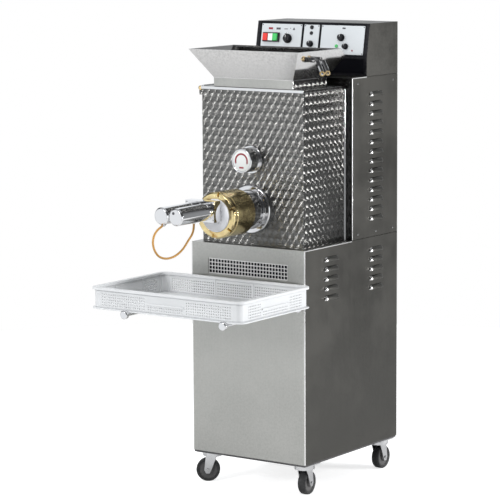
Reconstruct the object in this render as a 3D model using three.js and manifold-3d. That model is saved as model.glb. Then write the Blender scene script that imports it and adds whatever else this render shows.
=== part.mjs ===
// Free-standing pasta machine: a cabinet on casters, a mixing tank with an extrusion screw, and a tray.
// Millimetres. +X is the right-hand side seen from the front, +Y is the back, +Z is up.
import * as THREE from "three";
import { mergeVertices } from "three/addons/utils/BufferGeometryUtils.js";
import { ConvexGeometry } from "three/addons/geometries/ConvexGeometry.js";
import Module from "manifold-3d";

const wasm = await Module();
wasm.setup();

// Clearances and sheet thicknesses
const seat = 0.3; // gap between pieces that rest on or fit in each other
const running = 0.8; // gap around things that turn or slide
const overrun = 5; // how far a cutting shape passes the face it cuts
const weld = 0.001; // corners closer than this are one corner
const sheet = 2;

// Cabinet and rear body
const cabinetWidth = 450;
const cabinetDepth = 570;
const casterHeight = 112;
const cabinetHeight = 708;
const rearBodyHeight = 540;
const rearBodyFront = 286;
const seam = 1.5;
const panDrop = 6; // below the panels
const panHeight = 40;
const panSheet = 3;
const halfWidth = cabinetWidth / 2;
const cabinetTop = casterHeight + cabinetHeight;
const rearBodyTop = cabinetTop + rearBodyHeight;
const panLow = casterHeight - panDrop;
const innerHalfWidth = halfWidth - sheet - seat;
const innerFront = sheet + seat;
const innerBack = cabinetDepth - sheet - seat;

// Louvre slots in the side panels
const louvreLength = 80;
const louvrePitch = 32;
const louvreSlot = 8;
const lowerLouvreRows = 5;
const upperLouvreRows = 14;
const louvreDrop = 45; // first slot below the top of the cabinet
const upperLouvreDrop = 62; // first slot below the top of the rear body
const frontLouvreY = 157;
const rearLouvreShare = 0.5141; // of the rear body's depth, where the middle of its louvres lies
const rearLouvreY = rearBodyFront + (cabinetDepth - rearBodyFront) * rearLouvreShare;

// Blower behind the front grille
const grilleDrop = 76;
const grilleColumns = 26;
const grilleRows = 4;
const grillePitch = 12;
const grilleHole = 9;
const grilleLip = 12;
const grilleSheet = 1.5;
const blowerDepth = 110;
const blowerRise = 45;
const rotorRadius = 32;
const rotorBlades = 12;
const rotorGap = 14;
const fanShaftRadius = 4;
const fanMotorRadius = 26;
const fanMotorLength = 40;
const grilleZ = cabinetTop - grilleDrop;
const grilleHalf = (grilleColumns * grillePitch) / 2 + (grillePitch - grilleHole) / 2;
const grilleRise = (grilleRows * grillePitch) / 2 + (grillePitch - grilleHole) / 2;
const grilleY = innerFront;
const blowerFront = grilleY + grilleSheet + seat;
const blowerHalf = grilleHalf + grilleLip;
const rotorY = blowerFront + blowerDepth / 2;

// Console
const consoleHeight = 174;
const consoleSetback = 89; // from the front of the rear body
const kneeHeight = 60; // upright part under the leaning face
const consoleLean = 21; // how far the face leans back over its height
const consoleFlange = 14;
const lipHeight = 8;
const backingSheet = 3;
const plateSheet = 1.5;
const plateFoot = 10;
const plateHeight = 97;
const plateGap = 9;
const plateBorder = 4;
const plateWidthShares = [0.395, 0.15, 0.414]; // of the width that the three plates and their gaps fill
const consoleTop = rearBodyTop + consoleHeight;
const kneeY = rearBodyFront + consoleSetback;
const kneeZ = rearBodyTop + kneeHeight;
const leanAngle = Math.atan2(consoleLean, consoleHeight - kneeHeight);
const faceHeight = (consoleHeight - kneeHeight) / Math.cos(leanAngle);
const openingHalf = halfWidth - consoleFlange;

// Switch block, dials and lamp on the console
const blockWidth = 64;
const blockHeight = 32;
const blockDepth = 9;
const buttonWidth = 18;
const buttonHeight = 24;
const buttonTravel = 3;
const buttonProud = 4;
const pocketDepth = 8;
const dialHeight = 14;
const dialSpindle = 3;
const dialPointer = 5;
const selectorRadius = 16;
const cutterDialRadius = 11;
const timerRadius = 12.5;
const fanDialRadius = 10;
const lampRadius = 6;
const lampHeight = 4;
const lensRadius = 7;
// Each control's place: share of the plate's width from its left edge, share of its height from its foot
const blockShares = [0.265, 0.52];
const selectorShares = [0.67, 0.49];
const cutterDialShares = [0.5, 0.33];
const lensShares = [0.5, 0.91];
const timerShares = [0.475, 0.58];
const fanDialShares = [0.59, 0.28];
const lampShares = [0.38, 0.28];

// Engine-turned housing in front of the rear body
const housingInset = 25;
const housingFront = 31;
const housingHeight = 506;
const hemWidth = 12;
const hemProud = 1.5;
const housingHalf = halfWidth - housingInset;
const housingBack = rearBodyFront - seat;
const housingTop = cabinetTop + housingHeight;

// Top cover, its hinge and the hopper on it
const coverOverhang = 3;
const coverHeight = 8.5;
const coverBearing = 3;
const knuckleRadius = 9;
const knuckleBite = 1;
const earRadius = 7;
const earLength = 10;
const earMargin = 12;
const hingePinRadius = 5;
const hingeHeadLength = 6;
const collarHalf = 157;
const collarMargin = 10; // from the front edge of the cover
const collarDepth = 200;
const collarHeight = 30;
const flareOut = 60;
const flareHeight = 95;
const flareBack = 47;
const flareBackHeight = 67;
const cornerSetback = 53;
const hopperSheet = 2;
const sensorRadius = 8.5;
const sensorEdge = 1.5;
const sensorLength = 50;
const sensorSpacing = 33;
const sensorTilt = THREE.MathUtils.degToRad(27);
const sensorHeightShare = 0.62; // of the flare's height, where the sensors meet the wall
const sensorDepthShare = 0.47; // of the collar's depth
const hingeHeadRadius = knuckleRadius - knuckleBite - running;
const coverHalf = housingHalf + coverOverhang;
const coverFront = housingFront - coverOverhang;
const coverBack = housingBack - running;
const coverBottom = housingTop + seat;
const coverTop = coverBottom + coverHeight;
const hingeX = -(coverHalf + knuckleRadius - knuckleBite);
const hingeZ = coverBottom + coverHeight / 4;
const collarFront = coverFront + collarMargin;
const collarBack = collarFront + collarDepth;
const collarBottom = coverTop + seat;

// Drive: gears on the screw, on the mixer and on the motor
const gearModule = 6.5;
const screwTeeth = 23;
const mixerTeeth = 27;
const pinionTeeth = 11;
const pressureAngle = THREE.MathUtils.degToRad(25);
const addendumShare = 0.8; // of the module
const dedendumShare = 1.1; // of the module
const backlash = 0.9;
const gearWidth = 24;
const gearGap = 10;
const framePlate = 8;
const frameMargin = 55;
const frameFoot = 60;
const noseRise = 120;
const noseZ = cabinetTop + noseRise;
const mixerZ = noseZ + (gearModule * (screwTeeth + mixerTeeth)) / 2;
const motorX = (gearModule * (screwTeeth + pinionTeeth)) / 2;
const gearFront = rearBodyFront + sheet + gearGap;
const gearBack = gearFront + gearWidth;
const frameFront = gearBack + gearGap;
const frameBack = frameFront + framePlate;

// Motor
const motorRadius = 62;
const motorFlangeRadius = 52;
const motorFlange = 10;
const motorBackGap = 45;
const motorShaftRadius = 10;
const motorShaftGrip = 30;
const cowlRadius = 58;
const cowlLength = 40;
const terminalBox = 60;
const terminalRise = 30;
const motorFront = frameBack + seat;
const motorBack = cabinetDepth - sheet - motorBackGap;

// Extrusion barrel with its flange, screw, nut and die
const boreRadius = 36;
const barrelRadius = 48;
const barrelEnd = 12;
const headRadius = 62;
const threadRadius = 57;
const headLength = 70;
const threadLength = 105;
const flangeRadius = 80;
const flangeThickness = 18;
const flangeRim = 3;
const nutRadius = 75;
const nutLip = 9;
const nutNotches = 6;
const notchRadius = 5;
const notchDepth = 7;
const nutMouth = 54;
const dieShoulder = 5;
const dieProud = 3;
const dieHoles = 12;
const dieHoleRadius = 1.9;
const dieHoleCircle = 27;
const screwShaftRadius = 16;
const screwGap = 1;
const screwTip = 12;
const flightPitch = 60;
const flightRoot = 8;
const flightCrest = 4;
const driveShaftRadius = 15;
const feedHalf = 24;
const feedFront = 70;
const feedLength = 110;
const flangeFront = housingFront - seat - flangeThickness;
const headFront = flangeFront - headLength;
const barrelFront = headFront - threadLength;
const nutFront = barrelFront - 2 * seat - dieShoulder - nutLip;
const nutBack = headFront - seat;
const dieFace = nutFront - dieProud;

// Mixing tank and mixer
const tankSheet = 3;
const tankFrontGap = 12;
const tankTopGap = 2;
const tankSideGap = 38;
const mixerShaftRadius = 12;
const paddleGap = 8;
const paddleCount = 5;
const paddleTurn = THREE.MathUtils.degToRad(72);
const paddleWidth = 34;
const paddleThickness = 6;
const armRadius = 7;
const tankRadius = mixerZ - noseZ - barrelRadius - seat;
const tankHalf = housingHalf - tankSideGap;
const tankFront = housingFront + sheet + tankFrontGap;
const tankBack = housingBack;
const tankTop = housingTop - tankTopGap;

// Mixer knob
const knobRadius = 40;
const knobLength = 52;
const knobBaseRadius = 45;
const knobBase = 10;
const knobEdge = 4;
const knobStemRadius = 9;

// Cutter unit on the die
const bladeGap = 10;
const bladeReach = 46;
const bladeWidth = 14;
const bladeThickness = 2;
const bladeHub = 14;
const spigotRadius = 8;
const spigotDepth = 12;
const cutterDepth = 35;
const cutterHeight = 68;
const cutterRise = 17;
const cylinderRadius = 28;
const cylinderGap = 1;
const motorCylinderLength = 168;
const cylinderEdge = 3;
const glandRadius = 6;
const glandHeight = 8;
const glandInset = 14;
const glandLean = THREE.MathUtils.degToRad(65);
const carrierGlandInset = 7.5;
const cableRadius = 3.5;
const blockBack = dieFace - bladeGap;
const blockFront = blockBack - cutterDepth;
const cylinderX = -(2 * cylinderRadius + cylinderGap);
const cutterZ = noseZ + cutterRise;

// Tray and its rods
const trayWidth = 600;
const trayDepth = 400;
const trayHeight = 70;
const trayWall = 4;
const trayFloor = 4;
const trayFlange = 12;
const trayRim = 8;
const trayCorner = 30;
const trayX = -35;
const trayGap = 14;
const trayDrop = 178;
const rodRadius = 7;
const rodCapRadius = 14;
const rodCapLength = 14;
const rodCollarRadius = 17;
const rodCollarLength = 8;
const rodSpacing = 385;
const rodShift = 8;
const trayZ = cabinetTop - trayDrop;
const trayFrontY = -trayGap - trayDepth;
const rodZ = trayZ - seat - rodRadius;
const rodReach = trayGap + trayDepth + seat + rodCapLength;

// Casters
const casterInsetX = 39;
const casterInsetY = 55;
const casterPlateX = 72;
const casterPlateY = 84;
const casterPlate = 4;
const wheelRadius = 40;
const wheelWidth = 28;
const wheelEdge = 4;
const wheelSteps = 20;
const hubRadius = 14;
const axleRadius = 5;
const forkSheet = 3;
const forkGap = 2;
const forkTrail = 15;
const raceRadius = 33;
const raceHeight = 12;
const forkEye = 12;
const forkCrown = 4;
const casterAngles = [210, 95, 150, 90].map(THREE.MathUtils.degToRad);
const axleZ = wheelRadius * Math.cos(Math.PI / wheelSteps);

// Counts of facets
const fineSteps = 28;
const roundSteps = 20;
const smallSteps = 12;
const holeSteps = 8;
const dieHoleSteps = 6;
const turnSteps = 8;
const rootSteps = 6;
const cableSides = 8;
const cableSteps = 36;

const steel = material(0xb9bab8, 0.42, 0.9);
const darkSteel = material(0x8d8c89, 0.45, 0.9);
const turnedSteel = material(0xa9aaa8, 0.3, 0.95);
const polished = material(0xdadada, 0.12, 1);
const brass = material(0xc79a4b, 0.22, 1);
const black = material(0x15151a, 0.5, 0);
const plate = material(0xd9dcdc, 0.4, 0.7);
const red = material(0xe01414, 0.35, 0);
const green = material(0x35c24f, 0.35, 0);
const white = material(0xf2f3f1, 0.5, 0);
const iron = material(0x55585b, 0.6, 0.5);
const rubber = material(0x1b1b1b, 0.8, 0);
const cableSkin = material(0xb5732c, 0.5, 0);

function material(color, roughness, metalness) {
  return new THREE.MeshStandardMaterial({ color, roughness, metalness });
}

// Shapes and solids

function rectangle(left, low, right, high, PathType = THREE.Shape) {
  const path = new PathType();
  path.moveTo(left, low);
  path.lineTo(right, low);
  path.lineTo(right, high);
  path.lineTo(left, high);
  path.closePath();
  return path;
}

function opening(left, low, right, high) {
  return rectangle(left, low, right, high, THREE.Path);
}

function circle(x, y, radius, steps, PathType = THREE.Path) {
  const points = [];
  for (let i = 0; i < steps; i++) {
    const angle = (2 * Math.PI * (i + 0.5)) / steps;
    points.push(new THREE.Vector2(x + radius * Math.cos(angle), y + radius * Math.sin(angle)));
  }
  return new PathType(points);
}

function outline(points) {
  return new THREE.Shape(points.map(([a, b]) => new THREE.Vector2(a, b)));
}

function extrude(shape, depth) {
  return new THREE.ExtrudeGeometry(shape, { depth, bevelEnabled: false, curveSegments: 3 });
}

// A shape drawn in X and Z, from frontY towards the back.
function upright(shape, frontY, depth) {
  return extrude(shape, depth).rotateX(Math.PI / 2).translate(0, frontY + depth, 0);
}

// A shape drawn in Y and Z, from leftX towards the right.
function sideways(shape, leftX, width) {
  return extrude(shape, width).rotateX(Math.PI / 2).rotateZ(Math.PI / 2).translate(leftX, 0, 0);
}

// A shape drawn in X and Y, from lowZ upwards.
function level(shape, lowZ, height) {
  return extrude(shape, height).translate(0, 0, lowZ);
}

function box(x0, y0, z0, x1, y1, z1) {
  return level(rectangle(x0, y0, x1, y1), z0, z1 - z0);
}

// A profile of [radius, distance along the axis] pairs, turned about the Y axis.
function turned(profile, steps = roundSteps) {
  const points = profile.map(([radius, along]) => new THREE.Vector2(radius, along));
  const ring = THREE.ShapeUtils.area(points) < 0 ? points.reverse() : points;
  const onAxis = ring.findIndex((p) => p.x === 0);
  if (onAxis < 0) return new THREE.LatheGeometry([...ring, ring[0]], steps);
  const next = (onAxis + 1) % ring.length;
  const start = ring[next].x === 0 ? next : onAxis;
  return new THREE.LatheGeometry([...ring.slice(start), ...ring.slice(0, start)], steps);
}

function rod(radius, from, to, steps = roundSteps) {
  return turned([[0, from], [radius, from], [radius, to], [0, to]], steps);
}

function solid(geometry) {
  const bare = geometry.index ? geometry.toNonIndexed() : geometry.clone();
  bare.deleteAttribute("normal");
  bare.deleteAttribute("uv");
  const merged = mergeVertices(bare, weld);
  return new wasm.Manifold(
    new wasm.Mesh({
      numProp: 3,
      vertProperties: merged.attributes.position.array,
      triVerts: new Uint32Array(merged.index.array),
    }),
  );
}

function surface(made) {
  const mesh = made.getMesh();
  const geometry = new THREE.BufferGeometry();
  geometry.setAttribute("position", new THREE.BufferAttribute(mesh.vertProperties, 3));
  geometry.setIndex(new THREE.BufferAttribute(mesh.triVerts, 1));
  geometry.computeVertexNormals();
  return geometry;
}

function join(first, ...others) {
  return surface(others.reduce((made, next) => made.add(solid(next)), solid(first)));
}

function cut(first, ...others) {
  return surface(others.reduce((made, next) => made.subtract(solid(next)), solid(first)));
}

const machine = new THREE.Group();

function piece(name, geometry, look, parent = machine) {
  const mesh = new THREE.Mesh(geometry, look);
  mesh.name = name;
  parent.add(mesh);
  return mesh;
}

// Lower cabinet

function basePan() {
  const outer = box(-innerHalfWidth, innerFront, panLow, innerHalfWidth, innerBack, panLow + panHeight);
  const hollow = box(
    -innerHalfWidth + panSheet,
    innerFront + panSheet,
    panLow + panSheet,
    innerHalfWidth - panSheet,
    innerBack - panSheet,
    panLow + panHeight + overrun,
  );
  const pads = casterPlaces().map(([x, y]) =>
    box(
      x - casterPlateX / 2,
      y - casterPlateY / 2,
      panLow - casterPlate,
      x + casterPlateX / 2,
      y + casterPlateY / 2,
      panLow + panSheet / 2,
    ),
  );
  const pan = pads.reduce((made, pad) => join(made, pad), outer);
  return cut(pan, hollow);
}

function frontPanel() {
  const shape = rectangle(-halfWidth, casterHeight + seat, halfWidth, cabinetTop);
  shape.holes.push(opening(-grilleHalf, grilleZ - grilleRise, grilleHalf, grilleZ + grilleRise));
  return upright(shape, 0, sheet);
}

function louvreColumn(centreY, firstZ, rows) {
  const slots = [];
  for (let row = 0; row < rows; row++) {
    const low = firstZ - row * louvrePitch - louvreSlot / 2;
    const front = centreY - louvreLength / 2;
    slots.push(box(-overrun, front, low, sheet + overrun, front + louvreLength, low + louvreSlot));
  }
  return slots;
}

function lowerSide() {
  const wall = box(0, innerFront, casterHeight + seat, sheet, innerBack, cabinetTop);
  const firstZ = cabinetTop - louvreDrop;
  return cut(
    wall,
    ...louvreColumn(frontLouvreY, firstZ, lowerLouvreRows),
    ...louvreColumn(rearLouvreY, firstZ, lowerLouvreRows),
  );
}

function upperSide() {
  const front = rearBodyFront + sheet + seat;
  const wall = box(0, front, cabinetTop + seam, sheet, innerBack, rearBodyTop - sheet - seat);
  return cut(wall, ...louvreColumn(rearLouvreY, rearBodyTop - upperLouvreDrop, upperLouvreRows));
}

function backPanel() {
  return upright(
    rectangle(-halfWidth, casterHeight + seat, halfWidth, rearBodyTop - sheet - seat),
    cabinetDepth - sheet,
    sheet,
  );
}

function cabinet() {
  piece("base_frame", basePan(), darkSteel);
  piece("lower_front_panel", frontPanel(), steel);
  piece("lower_side_panel_left", lowerSide(), steel).position.x = -halfWidth;
  piece("lower_side_panel_right", lowerSide(), steel).position.x = halfWidth - sheet;
  piece("back_panel", backPanel(), steel);
  const deck = rectangle(-innerHalfWidth, innerFront, innerHalfWidth, innerBack);
  piece("deck_plate", level(deck, cabinetTop - sheet, sheet), steel);
  piece("rear_side_panel_left", upperSide(), steel).position.x = -halfWidth;
  piece("rear_side_panel_right", upperSide(), steel).position.x = halfWidth - sheet;
  const bulkhead = rectangle(-halfWidth, cabinetTop + seam, halfWidth, rearBodyTop - sheet - seat);
  bulkhead.holes.push(circle(0, noseZ, driveShaftRadius + running, roundSteps));
  bulkhead.holes.push(circle(0, mixerZ, mixerShaftRadius + running, roundSteps));
  piece("rear_bulkhead", upright(bulkhead, rearBodyFront, sheet), darkSteel);
  const roof = rectangle(-halfWidth, rearBodyFront, halfWidth, cabinetDepth);
  piece("rear_top_plate", level(roof, rearBodyTop - sheet, sheet), steel);
}

// Blower behind the grille

function grille() {
  const rise = grilleRise + grilleLip;
  const back = grilleY + grilleSheet;
  const front = grilleY - overrun;
  const holes = [];
  for (let column = 0; column < grilleColumns; column++) {
    for (let row = 0; row < grilleRows; row++) {
      const x = (column - grilleColumns / 2) * grillePitch + (grillePitch - grilleHole) / 2;
      const z = grilleZ + (row - grilleRows / 2) * grillePitch + (grillePitch - grilleHole) / 2;
      holes.push(box(x, front, z, x + grilleHole, back + overrun, z + grilleHole));
    }
  }
  return cut(box(-blowerHalf, grilleY, grilleZ - rise, blowerHalf, back, grilleZ + rise), ...holes);
}

function blowerCase() {
  const back = blowerFront + blowerDepth;
  const outer = box(-blowerHalf, blowerFront, grilleZ - blowerRise, blowerHalf, back, grilleZ + blowerRise);
  const inner = blowerHalf - sheet;
  const low = grilleZ - blowerRise + sheet;
  const high = grilleZ + blowerRise - sheet;
  const hollow = box(-inner, blowerFront - overrun, low, inner, back - sheet, high);
  const inlet = box(-inner + grilleLip, back - sheet - overrun, low + grilleLip, inner - grilleLip, back + overrun, grilleZ);
  const motor = rod(fanMotorRadius, 0, fanMotorLength + sheet)
    .rotateZ(Math.PI / 2)
    .translate(-blowerHalf + sheet, rotorY, grilleZ);
  const bore = rod(fanShaftRadius + seat, -blowerHalf - sheet, blowerHalf + overrun, smallSteps)
    .rotateZ(-Math.PI / 2)
    .translate(0, rotorY, grilleZ);
  return cut(join(cut(outer, hollow, inlet), motor), bore);
}

function fanRotor() {
  const points = [];
  for (let blade = 0; blade < rotorBlades; blade++) {
    const corners = [[0.55, 0], [1, 0.1], [1, 0.25], [0.55, 0.5]];
    for (const [radiusShare, turnShare] of corners) {
      const angle = (2 * Math.PI * (blade + turnShare)) / rotorBlades;
      const radius = rotorRadius * radiusShare;
      points.push([rotorY + radius * Math.cos(angle), grilleZ + radius * Math.sin(angle)]);
    }
  }
  const half = blowerHalf - sheet - rotorGap;
  const drum = sideways(outline(points), -half, 2 * half);
  const reach = blowerHalf - seat;
  const shaft = rod(fanShaftRadius, -reach, reach, smallSteps).rotateZ(-Math.PI / 2).translate(0, rotorY, grilleZ);
  return join(drum, shaft);
}

function blower() {
  piece("fan_grille", grille(), steel);
  piece("fan_housing", blowerCase(), darkSteel);
  piece("fan_rotor", fanRotor(), darkSteel);
}

// Console

// The Y of the leaning face at height z, moved inwards by depth.
function faceY(z, depth) {
  return kneeY + depth / Math.cos(leanAngle) + (z - kneeZ) * Math.tan(leanAngle);
}

function kneeAt(depth) {
  return [kneeY + depth, kneeZ - depth * Math.tan(leanAngle / 2)];
}

function consoleShell() {
  const foot = rearBodyTop + seat;
  const outer = sideways(
    outline([[kneeY, foot], [cabinetDepth, foot], [cabinetDepth, consoleTop], [faceY(consoleTop, 0), consoleTop], kneeAt(0)]),
    -halfWidth,
    cabinetWidth,
  );
  const ceiling = consoleTop - sheet;
  const back = cabinetDepth - sheet;
  const low = foot - overrun;
  const hollow = sideways(
    outline([[kneeY + sheet, low], [back, low], [back, ceiling], [faceY(ceiling, sheet), ceiling], kneeAt(sheet)]),
    -halfWidth + sheet,
    cabinetWidth - 2 * sheet,
  );
  const near = kneeY - overrun;
  const far = kneeY + consoleLean + overrun + sheet;
  const faceOpening = box(-openingHalf, near, kneeZ + lipHeight / 2, openingHalf, far, ceiling);
  const footOpening = box(-openingHalf, near, foot + lipHeight, openingHalf, kneeY + overrun, kneeZ - lipHeight / 2);
  return cut(outer, hollow, faceOpening, footOpening);
}

function consoleBacking() {
  const near = sheet + seat;
  const far = near + backingSheet;
  const low = rearBodyTop + 2 * seat;
  const high = consoleTop - sheet - seat;
  const half = halfWidth - sheet - seat;
  const shape = outline([
    [kneeY + near, low],
    [kneeY + far, low],
    kneeAt(far),
    [faceY(high, far), high],
    [faceY(high, near), high],
    kneeAt(near),
  ]);
  return sideways(shape, -half, 2 * half);
}

// A plate on the leaning face, in the face's own frame, with holes for the spindles named.
function facePlate(left, width, spindles) {
  const shape = rectangle(left, plateFoot, left + width, plateFoot + plateHeight);
  for (const [u, w] of spindles) shape.holes.push(circle(u, w, dialSpindle + seat, holeSteps));
  return upright(shape, sheet - plateSheet, plateSheet);
}

function spot(left, width, [widthShare, heightShare]) {
  return [left + width * widthShare, plateFoot + plateHeight * heightShare];
}

// A round dial with a pointer rib and a short spindle, its axis along Y and its face towards -Y.
function dial(radius) {
  const foot = sheet - plateSheet - seat;
  const top = foot - dialHeight;
  const rim = (radius - dialPointer / 2) / 2 + radius / 2;
  const body = turned([[0, top], [rim, top], [radius, foot - dialHeight / 3], [radius, foot], [0, foot]], smallSteps * 2);
  const rib = box(-dialPointer / 2, top - dialPointer / 2, 0, dialPointer / 2, top + dialPointer, radius - seat);
  const spindle = rod(dialSpindle, foot - dialPointer / 2, foot + plateSheet, holeSteps);
  return join(body, rib, spindle);
}

function switchBlock(u, w) {
  const foot = sheet - plateSheet - seat;
  const front = foot - blockDepth;
  const outer = box(u - blockWidth / 2, front, w - blockHeight / 2, u + blockWidth / 2, foot, w + blockHeight / 2);
  const pockets = [-1, 0, 1].map((place) => {
    const centre = u + (place * blockWidth) / 3.2;
    const halfPocket = buttonWidth / 2 + running / 2;
    const rise = buttonHeight / 2 + running / 2;
    return box(centre - halfPocket, front - overrun, w - rise, centre + halfPocket, front + pocketDepth, w + rise);
  });
  return cut(outer, ...pockets);
}

function button(u, w, place, proud) {
  const foot = sheet - plateSheet - seat;
  const front = foot - blockDepth - proud;
  const back = foot - blockDepth + pocketDepth - buttonTravel - seat;
  const centre = u + (place * blockWidth) / 3.2;
  return box(centre - buttonWidth / 2, front, w - buttonHeight / 2, centre + buttonWidth / 2, back, w + buttonHeight / 2);
}

function consoleUnit() {
  piece("console_shell", consoleShell(), steel);
  piece("console_backing", consoleBacking(), black);
  const face = new THREE.Group();
  face.position.set(0, kneeY, kneeZ);
  face.rotation.x = -leanAngle;
  machine.add(face);

  const widths = plateWidthShares.map((share) => share * 2 * (openingHalf - plateBorder));
  const leftX = -openingHalf + plateBorder;
  const middleX = leftX + widths[0] + plateGap;
  const rightX = openingHalf - plateBorder - widths[2];
  const middleWidth = rightX - plateGap - middleX;
  const block = spot(leftX, widths[0], blockShares);
  const selector = spot(leftX, widths[0], selectorShares);
  const cutterDial = spot(middleX, middleWidth, cutterDialShares);
  const lens = spot(middleX, middleWidth, lensShares);
  const timer = spot(rightX, widths[2], timerShares);
  const fanDial = spot(rightX, widths[2], fanDialShares);
  const lamp = spot(rightX, widths[2], lampShares);

  piece("console_plate_left", facePlate(leftX, widths[0], [selector]), plate, face);
  piece("console_plate_middle", facePlate(middleX, middleWidth, [cutterDial]), plate, face);
  piece("console_plate_right", facePlate(rightX, widths[2], [timer, fanDial]), plate, face);
  piece("switch_block", switchBlock(...block), black, face);
  piece("stop_button", button(...block, -1, buttonProud), red, face);
  piece("power_lamp", button(...block, 0, buttonProud / 2), white, face);
  piece("start_button", button(...block, 1, buttonProud), green, face);
  const dials = [
    ["mode_selector", selectorRadius, selector],
    ["cutter_speed_dial", cutterDialRadius, cutterDial],
    ["timer_dial", timerRadius, timer],
    ["fan_dial", fanDialRadius, fanDial],
  ];
  for (const [name, radius, [u, w]] of dials) piece(name, dial(radius), black, face).position.set(u, 0, w);
  const foot = sheet - plateSheet - seat;
  piece("fan_lamp", rod(lampRadius, foot - lampHeight, foot, smallSteps), green, face).position.set(lamp[0], 0, lamp[1]);
  piece("cutter_lamp", rod(lensRadius, foot - lampHeight, foot, smallSteps), black, face).position.set(lens[0], 0, lens[1]);
}

// Engine-turned housing

function housing() {
  const out = housingHalf + hemProud;
  const hemFront = housingBack - hemWidth;
  const inner = housingHalf - sheet;
  const shell = level(
    outline([
      [-out, housingBack],
      [-out, hemFront],
      [-housingHalf, hemFront],
      [-housingHalf, housingFront],
      [housingHalf, housingFront],
      [housingHalf, hemFront],
      [out, hemFront],
      [out, housingBack],
      [inner, housingBack],
      [inner, housingFront + sheet],
      [-inner, housingFront + sheet],
      [-inner, housingBack],
    ]),
    cabinetTop + seat,
    housingTop - cabinetTop - seat,
  );
  const noseHole = rod(barrelRadius + running, housingFront - overrun, housingFront + sheet + overrun, fineSteps);
  const stemHole = rod(knobStemRadius + running, housingFront - overrun, housingFront + sheet + overrun, smallSteps);
  const pinHole = rod(hingePinRadius + seat, coverFront - overrun, coverBack + overrun, smallSteps);
  const ears = earPlaces().flatMap((y) => [
    rod(earRadius, y, y + earLength, smallSteps * 2).translate(hingeX, 0, hingeZ),
    box(hingeX - earRadius, y, housingTop - 3 * earRadius, -inner - sheet / 2, y + earLength, housingTop - running),
  ]);
  return cut(
    join(shell, ...ears),
    noseHole.translate(0, 0, noseZ),
    stemHole.translate(0, 0, mixerZ),
    pinHole.translate(hingeX, 0, hingeZ),
  );
}

function earPlaces() {
  return [coverFront + earMargin, coverBack - earMargin - earLength];
}

// Top cover with its hinge knuckle, hopper and sensors

function topCover() {
  const outer = box(-coverHalf, coverFront, coverBottom, coverHalf, coverBack, coverTop);
  const lip = coverOverhang + sheet + coverBearing;
  const hollow = box(
    -coverHalf + lip,
    coverFront + lip,
    coverBottom - overrun,
    coverHalf - lip,
    coverBack - coverBearing,
    coverTop - sheet,
  );
  const inside = collarHalf - hopperSheet;
  const mouth = box(
    -inside,
    collarFront + hopperSheet,
    coverBottom - overrun,
    inside,
    collarBack - hopperSheet,
    coverTop + overrun,
  );
  const [frontEar, rearEar] = earPlaces();
  const knuckle = rod(knuckleRadius, frontEar + earLength + running, rearEar - running).translate(hingeX, 0, hingeZ);
  const bore = rod(hingePinRadius + seat, coverFront - overrun, coverBack + overrun, smallSteps);
  return cut(join(cut(outer, hollow, mouth), knuckle), bore.translate(hingeX, 0, hingeZ));
}

function hingePin() {
  const [frontEar, rearEar] = earPlaces();
  const front = frontEar - running;
  const back = rearEar + earLength + running;
  return turned([
    [0, front - hingeHeadLength],
    [hingeHeadRadius, front - hingeHeadLength],
    [hingeHeadRadius, front],
    [hingePinRadius, front],
    [hingePinRadius, back],
    [0, back],
  ], smallSteps * 2).translate(hingeX, 0, hingeZ);
}

// The flared part as a convex solid: inset moves the walls inwards, lift raises the top along them.
function flare(inset, lift) {
  const low = collarBottom + collarHeight;
  const out = (rise) => collarHalf - inset + (flareOut * rise) / flareHeight;
  const front = (rise) => collarFront + inset - (flareOut * rise) / flareHeight;
  const back = (rise) => collarBack - inset + (flareBack * rise) / flareBackHeight;
  const high = flareHeight + lift;
  const corner = flareBackHeight + lift;
  const cornerY = back(corner);
  const points = [];
  for (const side of [-1, 1]) {
    points.push(new THREE.Vector3(side * out(0), front(0), low));
    points.push(new THREE.Vector3(side * out(0), back(0), low));
    points.push(new THREE.Vector3(side * out(high), front(high), low + high));
    points.push(new THREE.Vector3(side * out(high), cornerY - cornerSetback, low + high));
    points.push(new THREE.Vector3(side * out(corner), cornerY, low + corner));
  }
  return new ConvexGeometry(points);
}

function hopper() {
  const low = collarBottom;
  const bend = collarBottom + collarHeight;
  const collar = box(-collarHalf, collarFront, low, collarHalf, collarBack, bend + weld);
  const inside = collarHalf - hopperSheet;
  const throat = box(
    -inside,
    collarFront + hopperSheet,
    low - overrun,
    inside,
    collarBack - hopperSheet,
    bend + weld,
  );
  return cut(join(collar, flare(0, 0)), throat, flare(hopperSheet, overrun));
}

function sensors() {
  const rise = flareHeight * sensorHeightShare;
  const x = collarHalf + (flareOut * rise) / flareHeight + sensorRadius / 2;
  const z = collarBottom + collarHeight + rise;
  const y = collarFront + collarDepth * sensorDepthShare;
  const barrels = [-1, 1].map((side) =>
    turned([
      [0, -sensorLength],
      [sensorRadius - sensorEdge, -sensorLength],
      [sensorRadius, sensorEdge - sensorLength],
      [sensorRadius, 0],
      [0, 0],
    ], smallSteps)
      .rotateX(Math.PI / 2)
      .rotateY(-sensorTilt)
      .translate(x, y + (side * sensorSpacing) / 2, z),
  );
  const half = sensorRadius / 2;
  const web = box(x - half, y - sensorSpacing / 2, z - 2 * half, x + half, y + sensorSpacing / 2, z - half);
  return cut(join(...barrels, web), flare(-seat, overrun));
}

function tankHousing() {
  piece("tank_housing", housing(), turnedSteel);
  piece("top_cover", topCover(), turnedSteel);
  piece("cover_hinge_pin", hingePin(), brass);
  piece("hopper", hopper(), steel);
  piece("interlock_sensors", sensors(), polished);
}

// Gears

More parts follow.
